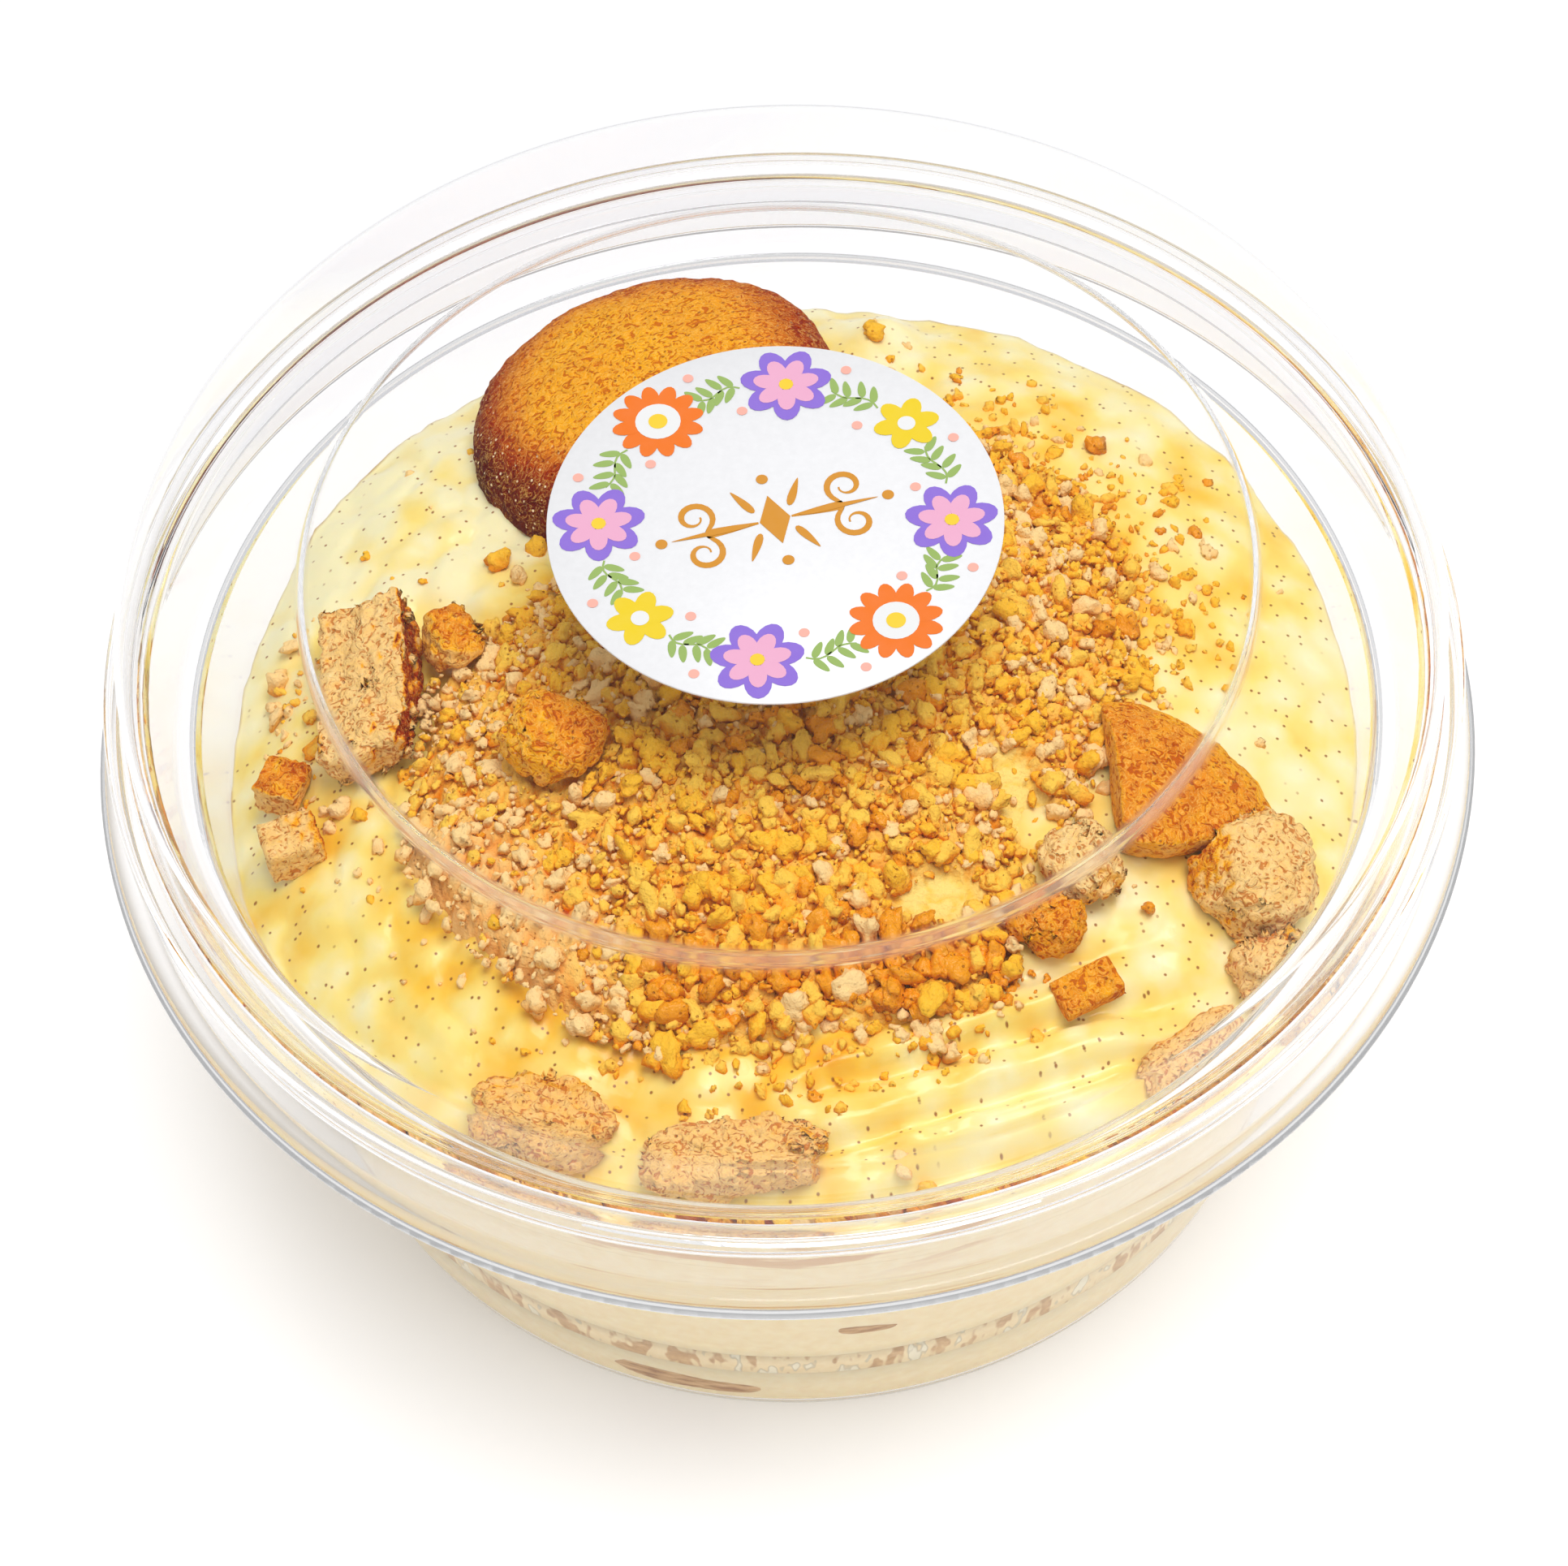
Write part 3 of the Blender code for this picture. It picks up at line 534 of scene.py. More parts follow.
def core_look():
    """Crumbs grown together: golden, with the cracks browned as painted shade.

    The point attributes pale and bare say where it is peach, and where pudding shows.
    """
    made, tree, shader = principled("core_look", Roughness=0.6, Specular_IOR_Level=0.1)
    # The dark ends of these ramps colour the painted shade in the cracks.
    tone, bare = crumb_tone(tree, 0.75), attribute(tree, "bare")
    golden = ramp(tone, (0.05, (184, 88, 0)), (0.3, (232, 140, 8)), (0.62, (255, 198, 84)))
    peach = ramp(tone, (0.1, (226, 148, 60)), (0.34, (250, 184, 98)), (0.75, (255, 206, 130)))
    yolk = ramp(tone, (0.1, (250, 198, 56)), (0.6, (254, 226, 128)))
    base = mix(bare, mix(attribute(tree, "pale"), golden, peach), yolk)
    # Brown pits as painted shade, fewer where pudding shows.
    crumb_surface(tree, shader, base, srgb(190, 96, 0), minus(0.6, bare))
    return made


def wafer_look():
    """Baked wafer: golden where it is domed, browner at the rim, pale where it is broken;
    pits and crease valleys are darkened as painted shade.

    The point attribute bake runs from 0 for pale crumb through 0.5 for the golden dome to
    1 for the darkest rim, and dust is where pale specks lie. On the domed wafer it also
    holds painted shade that darkens the rim's lower left.
    """
    made, tree, shader = principled("wafer_look", Roughness=0.6, Specular_IOR_Level=0.04)
    place = object_place(tree)
    crinkle = node(tree, "TexNoise", Vector=place, Scale=1 / (CRINKLE * MM), Detail=2.0,
                   Distortion=1.6).outputs["Fac"]
    mottle = times(minus(grain(place, 2.6, 3.0), 0.5), 0.16)
    base = ramp(plus(attribute(tree, "bake"), mottle), (0.0, (255, 216, 146)),
                (0.28, (248, 190, 102)), (0.42, (255, 178, 16)), (0.6, (236, 142, 28)),
                (0.8, (178, 64, 0)), (1.0, (90, 6, 0)))
    # Pits and the low parts of the creases are darkened as painted shade.
    pits = falling(cells(place, 1.0), 0.08, 0.16)
    hollow_shade = larger(pits, times(falling(crinkle, 0.38, 0.46), 0.85))
    colour = mix(hollow_shade, base, mix(1.0, base, srgb(206, 146, 84), "MULTIPLY"))
    threads = ramp(crinkle, (0.5, BLACK), (0.54, WHITE), (0.58, BLACK))
    colour = mix(times(threads, 0.5), colour, srgb(255, 206, 104))
    specks = falling(cells(place, 0.8), 0.13, 0.18)
    colour = mix(times(specks, attribute(tree, "dust")), colour, srgb(250, 226, 180))
    feed_all(shader, Base_Color=colour, Normal=bump(minus(crinkle, times(pits, 0.5)), 1.0, 0.34))
    return made


def paper_look():
    made, tree, shader = principled("label_look", Roughness=0.4, Coat_Weight=0.15)
    fibres = grain(object_place(tree), 0.6, 3.0)
    feed_all(shader, Base_Color=ramp(fibres, (0.3, (229, 229, 231)), (0.7, (233, 233, 235))))
    return made


def ink_look(name, colour):
    """Printed ink, a little uneven."""
    made, tree, shader = principled(name, Roughness=0.4)
    uneven = times(grain(object_place(tree), 1.4, 3.0), 0.04)
    feed_all(shader, Base_Color=mix(uneven, colour, WHITE))
    return made


# Cup, lid and label

def rounded(outline, steps=8, hold=0.4):
    """Corners of (r, z, radius) as a line of points with each corner turned into an arc.

    A point just before and after each arc keeps the long stretches flat in shading.
    """
    points = [Vector(outline[0][:2])]
    for before, corner, after in zip(outline, outline[1:], outline[2:]):
        place, radius = Vector(corner[:2]), corner[2]
        backward, forward = Vector(before[:2]) - place, Vector(after[:2]) - place
        to_before, to_after = backward.normalized(), forward.normalized()
        half = backward.angle(forward) / 2
        reach = radius / math.tan(half)
        centre = place + (to_before + to_after).normalized() * radius / sin(half)
        start, end = place + to_before * reach - centre, place + to_after * reach - centre
        first = math.atan2(start.y, start.x)
        sweep = (math.atan2(end.y, end.x) - first + pi) % (2 * pi) - pi
        if backward.length > reach + 5 * hold:
            points.append(place + to_before * (reach + hold))
        for step in range(steps + 1):
            angle = first + sweep * step / steps
            points.append(centre + Vector((cos(angle), sin(angle))) * radius)
        if forward.length > reach + 5 * hold:
            points.append(place + to_after * (reach + hold))
    points.append(Vector(outline[-1][:2]))
    return points


def offset_right(points, distance):
    """The same line moved to its right by a distance, with mitred corners."""
    moved = []
    for index, point in enumerate(points):
        normals = []
        for start, end in ((index - 1, index), (index, index + 1)):
            if start >= 0 and end < len(points):
                along = points[end] - points[start]
                normals.append(Vector((along.y, -along.x)).normalized())
        mitre = (normals[0] + normals[-1]) / (1 + normals[0].dot(normals[-1]))
        place = point + mitre * distance
        moved.append(Vector((max(place.x, 0.0) if point.x > 0 else 0.0, place.y)))
    return moved


def turned(name, profile, look, sides=TURN_SIDES):
    """A profile of (r, z) points turned about Z, both ends on the axis."""
    mesh = bpy.data.meshes.new(name)
    edges = [(index, index + 1) for index in range(len(profile) - 1)]
    mesh.from_pydata([(point[0] * MM, 0.0, point[1] * MM) for point in profile], edges, [])
    item = add_object(name, mesh, look)
    add_modifier(item, "SCREW", axis="Z", steps=sides, render_steps=sides, merge_threshold=1e-5,
                 use_merge_vertices=True, use_smooth_shade=True)
    apply_modifiers(item)
    return item


def shell(name, outline, thickness, look):
    """A thin turned wall whose one face is the outline and the other lies to its right."""
    face = rounded(outline)
    return turned(name, face + offset_right(face, thickness)[::-1], look)


def wall_radius(height):
    """Inner radius of the cup's tapered wall."""
    low = BASE_RADIUS - CUP_WALL
    return low + (RIM_RADIUS - low) * (height - CUP_WALL) / (RIM_HEIGHT - CUP_WALL)


def make_cup():
    inside = ((0.0, CUP_WALL, 0), (wall_radius(CUP_WALL), CUP_WALL, 1.6),
              (RIM_RADIUS, RIM_HEIGHT, 0.5))
    cup = shell("cup_clear", inside + CUP_OUTLINE, CUP_WALL, clear_plastic("cup_look"))
    store(cup, frost=[0.0] * len(cup.data.vertices))
    settle(cup, "clear_cup", "cup")


def make_lid():
    lid = shell("lid_clear", LID_OUTLINE, LID_WALL, clear_plastic("lid_look"))
    starts, full_from, full_to, ends = FROST_RING
    frost = []
    for vert in lid.data.vertices:
        radius, height = hypot(vert.co.x, vert.co.y) / MM, vert.co.z / MM
        ring = ease(starts, full_from, radius) * (1 - ease(full_to, ends, radius))
        frost.append(ring if height > 62 else 0.0)
    store(lid, frost=frost)
    settle(lid, "clear_lid", "lid")
    return lid


def on_label(x, y):
    """A place on the label, given about its centre and turned with the print."""
    across, along = rotated(x, y, radians(LABEL_TURN))
    return LABEL_CENTRE[0] + across, LABEL_CENTRE[1] + along


def petal(centre, degrees, start, length, width, point=0.0, steps=16):
    """Outline of a petal that starts a distance from a centre; point sharpens its tip."""
    shape = []
    for step in range(steps):
        angle = 2 * pi * step / steps
        share = (1 - cos(angle)) / 2
        across = width / 2 * sin(angle) * (1 - point * share)
        x, y = rotated(start + length * share, across, radians(degrees))
        shape.append((centre[0] + x, centre[1] + y))
    return shape


def flowers(centres, petals, start, length, width):
    return [petal(centre, 360 * index / petals, start, length, width)
            for centre in centres for index in range(petals)]


def discs(centres, radius, steps=24):
    shapes = []
    for x, y in centres:
        corners = [polar(radius, 2 * pi * step / steps) for step in range(steps)]
        shapes.append([(x + across, y + along) for across, along in corners])
    return shapes


def round_place(degrees, radius):
    return polar(radius, radians(degrees))


def print_ink(name, colour, layer, shapes):
    """Flat shapes of one ink, given about the label's centre, on its upper face."""
    points, faces = [], []
    for shape in shapes:
        faces.append([len(points) + index for index in range(len(shape))])
        height = LABEL_TOP + INK_STEP * (layer + 0.1 * (len(faces) % 8))
        points += [(*on_label(x, y), height) for x, y in shape]
    ink = add_object("ink_" + name, mesh_from("ink_" + name, points, faces),
                     ink_look("ink_" + name, colour))
    settle(ink, "label_paper")


def ribbon(points, widths):
    """Four-sided shapes along a line of points, as wide at each as the widths say."""
    sides = []
    for index, width in enumerate(widths):
        before, after = points[max(index - 1, 0)], points[min(index + 1, len(points) - 1)]
        along = Vector(after) - Vector(before)
        out = Vector((-along.y, along.x)).normalized() * width / 2
        sides.append((tuple(Vector(points[index]) + out), tuple(Vector(points[index]) - out)))
    return [[left, right, next_right, next_left]
            for (left, right), (next_left, next_right) in zip(sides, sides[1:])]


def scroll(side, rise):
    """A curl of the gold ornament that starts at the middle and ends in a spiral."""
    steps = 26
    points, widths = [], []
    for step in range(steps):
        share = step / (steps - 1)
        angle = radians(250 - 430 * share)
        reach = 1.7 * (1 - 0.7 * share)
        points.append((side * (6.4 + reach * cos(angle)), rise * (1.9 + reach * sin(angle))))
        widths.append(0.16 + 0.42 * sin(pi * min(1.0, 0.15 + share)))
    start = (side * 1.4, 0.0)
    lead = [tuple(Vector(start).lerp(Vector(points[0]), share / 4)) for share in range(4)]
    return ribbon(lead + points, [0.2, 0.3, 0.4, 0.42] + widths)


def make_sticker():
    """The white disc itself, with a slightly broken edge."""
    rim = 0.05
    profile = [(0.0, LABEL_TOP), (LABEL_RADIUS - rim, LABEL_TOP),
               (LABEL_RADIUS, LABEL_TOP - rim), (LABEL_RADIUS, LABEL_BOTTOM), (0.0, LABEL_BOTTOM)]
    label = turned("label_disc", profile, paper_look(), sides=128)
    label.location = Vector((*LABEL_CENTRE, 0)) * MM
    settle(label, "label_paper", "label")


def wreath_green():
    """Leaves, stems and berries of the wreath, between its flowers."""
    reaches = {118: 3.9, 298: 3.9, 72: 3.9, 166: 3.9, 250: 3.9, 344: 3.9, 28: 2.9, 208: 2.9}
    leaves, stems, berries = [], [], []
    order = sorted(reaches)
    for angle, after in zip(order, order[1:] + [order[0] + 360]):
        start = angle + math.degrees(reaches[angle] / WREATH_RADIUS)
        end = after - math.degrees(reaches[after % 360] / WREATH_RADIUS)
        degrees = [start + (end - start) * step / 8 for step in range(9)]
        line = [round_place(place, WREATH_RADIUS + 0.35 * sin(step * pi / 4))
                for step, place in enumerate(degrees)]
        stems += ribbon(line, [0.17] * len(line))
        leaves += [petal(line[step], degrees[step] + 90 + side * 56, 0.1, 1.75, 0.85, 0.4)
                   for step in range(1, 9, 2) for side in (-1, 1)]
        berries += [round_place(end - 1.5, WREATH_RADIUS + 2.5),
                    round_place(start + 1.5, WREATH_RADIUS - 2.5)]
    return leaves + stems, discs(berries, 0.45)


def make_print():
    """A wreath of simple flowers round a gold ornament."""
    daisies = [round_place(angle, WREATH_RADIUS) for angle in (118, 298)]
    asters = [round_place(angle, WREATH_RADIUS) for angle in (72, 166, 250, 344)]
    small = [round_place(angle, WREATH_RADIUS + 0.3) for angle in (28, 208)]
    green, berries = wreath_green()
    corners = [(side, rise) for side in (-1, 1) for rise in (-1, 1)]
    curls = [quad for side, rise in corners for quad in scroll(side, rise)]
    sprays = [petal((side * 2.0, 0.0), 90 - side * 90, 0.0, 6.8, 0.8, 0.75) for side in (-1, 1)]
    leaflets = [petal((side * 1.2, rise * 0.6), 90 - side * (90 - rise * 62), 0.6, 3.0, 1.0, 0.7)
                for side, rise in corners]
    dots = discs([(0.0, 4.4), (0.0, -4.4), (-9.6, 0.0), (9.6, 0.0)], 0.5)
    diamond = [[(0.0, 2.6), (-1.3, 0.0), (0.0, -2.6), (1.3, 0.0)]]
    for name, colour, layer, shapes in (
            ("green", (146, 174, 90), 1, green),
            ("peach", (244, 172, 156), 2, berries),
            ("orange", (232, 112, 0), 2, flowers(daisies, 12, 1.2, 2.7, 1.5)),
            ("lilac", (136, 104, 206), 2, flowers(asters, 7, 0.5, 3.4, 2.3)),
            ("yellow", (230, 200, 14), 2, flowers(small, 6, 0.2, 2.6, 1.7)),
            ("pink", (228, 166, 196), 3, flowers(asters, 7, 0.5, 2.3, 1.5)),
            ("white", (228, 228, 228), 3, discs(daisies, 1.9) + discs(small, 0.75)),
            ("centres", (240, 200, 40), 4, discs(daisies, 0.8) + discs(asters, 0.6)),
            ("gold", GOLD, 1, curls),
            ("gilt", GOLD, 2, leaflets + dots + diamond),
            ("gold_bars", GOLD, 3, sprays)):
        print_ink(name, srgb(*colour), layer, shapes)


# Heights of the filling, as in the CAD

def strokes(x, y):
    """Wavy ridges that the spatula left at the front right."""
    along, across = rotated(x - STROKE_CENTRE[0], y - STROKE_CENTRE[1], -STROKE_ANGLE)
    across += 0.8 * bumps(x, y, 0.12, 3)
    fade = exp(-(along / STROKE_SPREAD[0]) ** 4 - (across / STROKE_SPREAD[1]) ** 4)
    phase = 2 * pi * across / STROKE_SPACING
    return STROKE_DEPTH * fade * (sin(phase) + 0.4 * sin(2 * phase + 1))


def wall_level(x, y):
    return look_up_at(WALL_LEVELS, x, y)


def pudding_height(x, y):
    level = wall_level(x, y)
    share = min(1.0, hypot(x, y) / wall_radius(level))
    height = level + (CROWN_HEIGHT - level) * (1 - share ** 4)
    relief = 0.5 * bumps(x, y, 0.11)
    for (peak_x, peak_y), rise, width in PEAKS:
        relief += rise * exp(-((x - peak_x) ** 2 + (y - peak_y) ** 2) / width ** 2)
    return height + relief * (1 - share ** 12)


def curd_cell(x, y):
    """How far a place is from the middle of its soft lump, and 1 on the seam to the next."""
    bent = Vector((x + 1.8 * bumps(x, y, 0.2, 11), y + 1.8 * bumps(x, y, 0.2, 12), 0))
    near, second = noise.voronoi(bent / CURD_SIZE)[0][:2]
    return near, 1 - ease(0.0, 0.5, second - near)


def fine_pudding_height(x, y):
    """The pudding's height with its small lumps, strokes and uneven edge."""
    share = hypot(x, y) / wall_radius(wall_level(x, y))
    near, seam = curd_cell(x, y)
    curds = (1 - ease(10, 24, x)) * (1.1 * (0.3 - near ** 2) - 0.2 * seam)
    curds += 0.5 * bumps(x, y, 0.3, 5) + 0.18 * bumps(x, y, 0.8, 6)
    edge = 0.9 * bumps(x, y, 0.16, 7) + 0.35 * bumps(x, y, 0.5, 8)
    return (pudding_height(x, y) + 1.3 * strokes(x, y) + curds * (1 - 0.5 * share ** 8)
            + edge * share ** 10)


def heap_share(x, y):
    """0 in the middle of the crumb heap, 1 at its edge, more outside it."""
    return hypot(x, y) / look_up_at(HEAP_RADII, x, y)


def heap_thickness(x, y):
    share = min(1.0, heap_share(x, y))
    thickness = HEAP_EDGE + HEAP_HEIGHT * (1 - share ** 1.6)
    return max(HEAP_EDGE, thickness + 0.5 * bumps(x, y, 0.3, 2.7) * (1 - share))


def in_bands(x, y, bands):
    """How far a place lies in one of some turned ellipses: 1 in the middle, 0 outside."""
    most = 0.0
    for (middle_x, middle_y), (along, across), degrees in bands:
        dx, dy = rotated(x - middle_x, y - middle_y, -radians(degrees))
        reach = hypot(dx / along, dy / across)
        most = max(most, 1 - ease(0.6, 1.15, reach + 0.25 * bumps(x, y, 0.25, 31)))
    return most


def fused(x, y):
    """How far the crumbs at a place are grown together as one pale mass, 0 to 1."""
    return in_bands(x, y, FUSED_BANDS)


# Pudding and the layer in it

def ring_faces(sides, rings, last=None):
    """Faces between rings of points round point 0, closed by a last point if there is one."""
    faces = []
    for side in range(sides):
        after = (side + 1) % sides
        faces.append((0, 1 + side, 1 + after))
        for ring in range(rings - 1):
            inner, outer = 1 + ring * sides, 1 + (ring + 1) * sides
            faces.append((inner + side, outer + side, outer + after, inner + after))
        if last is not None:
            outer = 1 + (rings - 1) * sides
            faces.append((outer + side, last, outer + after))
    return faces


def round_surface(name, height, edge, skirt, look, sides, rings):
    """A closed piece with a top surface over a round plan.

    height(x, y) is the top, edge(angle) its radius, and skirt(angle) the (radius, height)
    points that its side goes down through; its last ones close in a flat underside.
    """
    angles = [2 * pi * side / sides for side in range(sides)]
    points = [(0.0, 0.0, height(0.0, 0.0))]
    for ring in range(1, rings + 1):
        for angle in angles:
            x, y = polar(edge(angle) * ring / rings, angle)
            points.append((x, y, height(x, y)))
    skirts = [skirt(angle) for angle in angles]
    for level in range(len(skirts[0])):
        for angle, line in zip(angles, skirts):
            radius, z = line[level]
            points.append((*polar(radius, angle), z))
    last = len(points)
    points.append((0.0, 0.0, points[-1][2]))
    faces = ring_faces(sides, rings + len(skirts[0]), last)
    return add_object(name, mesh_from(name, points, faces), look)


def seated(height):
    """Radius of the filling's side, which reaches just into the wall."""
    return wall_radius(height) + SEATING


def make_upper_pudding(look):
    """The pudding over the soaked layer, with its soft relief."""
    steps = 14

    def edge(angle):
        return seated(wall_level(cos(angle), sin(angle)))

    def skirt(angle):
        top = fine_pudding_height(*polar(edge(angle), angle))
        heights = [top + (LAYER_TOP - top) * (step + 1) / steps for step in range(steps)]
        return [(seated(height), height) for height in heights]

    upper = round_surface("pudding_upper", fine_pudding_height, edge, skirt, look,
                          sides=320, rings=130)
    warm, side = [], []
    for vert in upper.data.vertices:
        x, y, z = vert.co / MM
        near = 1 - ease(0.85, 1.45, heap_share(x, y))
        far_left = ease(0, 40, -x + 0.6 * y) * (0.3 + 0.7 * ease(0, 22, y))
        front = ease(-10, 40, -y) * ease(-20, 10, -x)
        hollow_shade = ease(-0.1, 0.7, pudding_height(x, y) + strokes(x, y) - z)
        seam = curd_cell(x, y)[1] * (1 - ease(6, 20, x))
        near *= 0.16 + 0.22 * ease(-5, 10, y)
        # Deeper yellow in the hollows between ridges and on the curds' seams is painted shade.
        warm.append(0.03 + near + 0.1 * front - 0.26 * far_left + 0.06 * hollow_shade + 0.1 * seam)
        side.append(ease(-0.1, 0.1, hypot(x, y) - wall_radius(z)))
    store(upper, warm=warm, side=side)
    settle(upper, "pudding", "pudding_top")


def make_lower_pudding(look):
    """The pudding under the soaked layer, down to the rounded corner of the cup."""
    corner = 1.6
    profile = [(0.0, LAYER_BOTTOM), (seated(LAYER_BOTTOM), LAYER_BOTTOM),
               (seated(FLOOR_TOP + corner), FLOOR_TOP + corner),
               (seated(FLOOR_TOP + 0.5) - 0.5, FLOOR_TOP + 0.4),
               (seated(FLOOR_TOP) - corner, FLOOR_TOP - SEATING), (0.0, FLOOR_TOP - SEATING)]
    lower = turned("pudding_lower", profile, look)
    count = len(lower.data.vertices)
    store(lower, warm=[0.0] * count, side=[1.0] * count)
    settle(lower, "pudding", "pudding_bottom")


def make_soaked_layer():
    band = [(0.0, LAYER_TOP), (seated(LAYER_TOP), LAYER_TOP),
            (seated(LAYER_BOTTOM), LAYER_BOTTOM), (0.0, LAYER_BOTTOM)]
    layer = turned("soaked_layer", band, side_look())
    settle(layer, "wafer_crumb", "wafer_layer")


# Wafers

def finely_meshed(node_name, name, look, voxel, softening=3):
    """A CAD solid as a fine, even mesh, ready for relief; softening rounds its corners."""
    item = add_object(name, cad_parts[node_name].data.copy(), look)
    add_modifier(item, "REMESH", mode="VOXEL", voxel_size=voxel * MM)
    add_modifier(item, "SMOOTH", factor=0.5, iterations=softening)
    apply_modifiers(item)
    item.data.shade_smooth()
    return item


def crumble(item, depth, seed):
    """Push a mesh's points in and out as crumbs grown together, with pores."""
    for vert in item.data.vertices:
        place = vert.co / MM
        near, second = noise.voronoi(place / 1.9 + Vector((seed, 0, 0)))[0][:2]
        clumps = ease(0.0, 0.45, second - near) - 0.7
        lumps = bumps_at(place, 0.3, seed) + 0.5 * bumps_at(place, 0.85, seed + 1)
        pores = ease(0.2, 0.45, bumps_at(place, 1.5, seed + 2))
        vert.co += vert.normal * depth * (lumps + 0.6 * clumps - 0.4 * pores) * MM
    item.data.update()


def mark_crust(item, facing, crust_bake, crumb_bake, seed):
    """Store how baked each point is: crust on the sides that face a direction."""
    facing = Vector(facing).normalized()
    bake, dust = [], []
    for vert in item.data.vertices:
        place = vert.co / MM
        turned_to = vert.normal.dot(facing) + 0.3 * bumps_at(place, 0.35, seed)
        crust = ease(0.3, 0.95, turned_to)
        crumb = crumb_bake + 0.12 * bumps_at(place, 0.9, seed + 4)
        bake.append(crumb + crust * (crust_bake - crumb_bake))
        dust.append(0.25 * (1 - crust))
    store(item, bake=bake, dust=dust)


def wafer_profile(rings):
    """Outline of the domed wafer as (r, z), from near its top to its underside."""
    edge = WAFER_THICKNESS * 0.28
    profile = []
    for ring in range(1, rings):
        angle = pi / 2 * ring / rings
        profile.append((WAFER_RADIUS * 0.985 * sin(angle) ** 0.85,
                        edge + (WAFER_THICKNESS - edge) * cos(angle) ** 0.9))
    return profile + [(WAFER_RADIUS * 0.995, edge * 0.85), (WAFER_RADIUS, edge * 0.6),
                      (WAFER_RADIUS * 0.985, edge * 0.3), (WAFER_RADIUS * 0.95, 0.1)]


def make_whole_wafer(look, sides=220, rings=70):
    """The domed wafer at the back left: crinkled dome, browner rim, darker at the lower left
    partly from baking and partly as painted shade.
    """
    profile = wafer_profile(rings)
    points, bake, dust = [(0.0, 0.0, WAFER_THICKNESS)], [0.5], [0.0]
    for r, z in profile:
        rim = ease(0.5, 1.0, r / WAFER_RADIUS)
        for side in range(sides):
            x, y = polar(r, 2 * pi * side / sides)
            place = Vector((x, y, z))
            wrinkle = 0.16 * bumps_at(place, 1.0) + 0.1 * bumps_at(place, 2.2, 3)
            waves = 0.25 * bumps_at(place, 0.2, 5)
            points.append(tuple(place + place.normalized() * (wrinkle + waves)))
            # The rim's lower left is darker, partly from baking and partly as painted shade.
            lower_left = ease(0.2, 0.9, -(x * 0.75 + y * 0.65) / WAFER_RADIUS)
            bake.append(0.46 + (0.36 + 0.18 * lower_left) * rim + 0.08 * bumps_at(place, 0.15, 7))
            dust.append(0.95 * rim * lower_left + 0.25 * rim)
    faces = ring_faces(sides, len(profile))
    bottom = 1 + (len(profile) - 1) * sides
    faces.append([bottom + side for side in reversed(range(sides))])
    wafer = add_object("wafer_domed", mesh_from("wafer_domed", points, faces), look)
    store(wafer, bake=bake, dust=dust)
    height = pudding_height(*WAFER_PLACE) - WAFER_SINK
    place = Matrix.Translation(Vector((*WAFER_PLACE, height)) * MM)
    turn = Euler([radians(angle) for angle in WAFER_TURN]).to_matrix().to_4x4()
    wafer.data.transform(place @ turn)
    settle(wafer, "wafer_crust", "wafer_whole")


def square_off(item, degrees, share=0.75):
    """Push a lump's points towards a box round it that is turned about Z by an angle."""
    turn = Matrix.Rotation(radians(degrees), 3, "Z")
    middle = sum((vert.co for vert in item.data.vertices), Vector()) / len(item.data.vertices)
    places = [turn @ (vert.co - middle) for vert in item.data.vertices]
    reach = [max(abs(place[axis]) for place in places) for axis in range(3)]
    for vert, place in zip(item.data.vertices, places):
        fill = max(abs(place[axis]) / reach[axis] for axis in range(3))
        grown = (1 - 0.22 * share) * (1 + share * (1 / max(fill, 0.5) - 1))
        vert.co = middle + turn.transposed() @ (place * grown)
    item.data.update()


def make_fragments(look):
    for seed, (name, facing, crust_bake, crumb_bake, depth, softening) in enumerate(FRAGMENTS):
        item = finely_meshed(name, name + "_baked", look, voxel=0.28, softening=softening)
        if name in SQUARE_BLOCKS:
            square_off(item, SQUARE_BLOCKS[name])
        crumble(item, depth, seed * 3.7)
        mark_crust(item, facing, crust_bake, crumb_bake, seed * 2.9)
        settle(item, "wafer_crust", name)


def make_side_wafers(look):
    """The two pieces that lie against the cup's wall, pressed just into it."""
    for node_name in ("wafer_side_low", "wafer_side_high"):
        item = finely_meshed(node_name, node_name + "_soaked", look, voxel=0.25)
        reach = max(hypot(vert.co.x, vert.co.y) / MM - wall_radius(vert.co.z / MM)
                    for vert in item.data.vertices)
        for vert in item.data.vertices:
            radius = hypot(vert.co.x, vert.co.y)
            grown = (radius + (SEATING * 2 - reach) * MM) / radius
            vert.co.x, vert.co.y = vert.co.x * grown, vert.co.y * grown
        settle(item, "wafer_crust", node_name)


# Crumbs

def random_facing(draw):
    return Vector([draw.gauss(0, 1) for _ in range(3)]).normalized()


def grown_knobs(draw):
    """A lump of knobs grown together, about 1 mm in radius."""
    knobs = [(Vector(), 0.66)]
    for _ in range(draw.randint(4, 7)):
        facing = random_facing(draw)
        knobs.append((facing * draw.uniform(0.4, 0.8), draw.uniform(0.25, 0.5)))
    shape = bmesh.new()
    for centre, radius in knobs:
        bmesh.ops.create_icosphere(shape, subdivisions=2, radius=radius,
                                   matrix=Matrix.Translation(centre))
    mesh = bpy.data.meshes.new("knobs")
    shape.to_mesh(mesh)
    shape.free()
    item = add_object("knobs", mesh)
    add_modifier(item, "REMESH", mode="VOXEL", voxel_size=0.15)
    apply_modifiers(item)
    return item


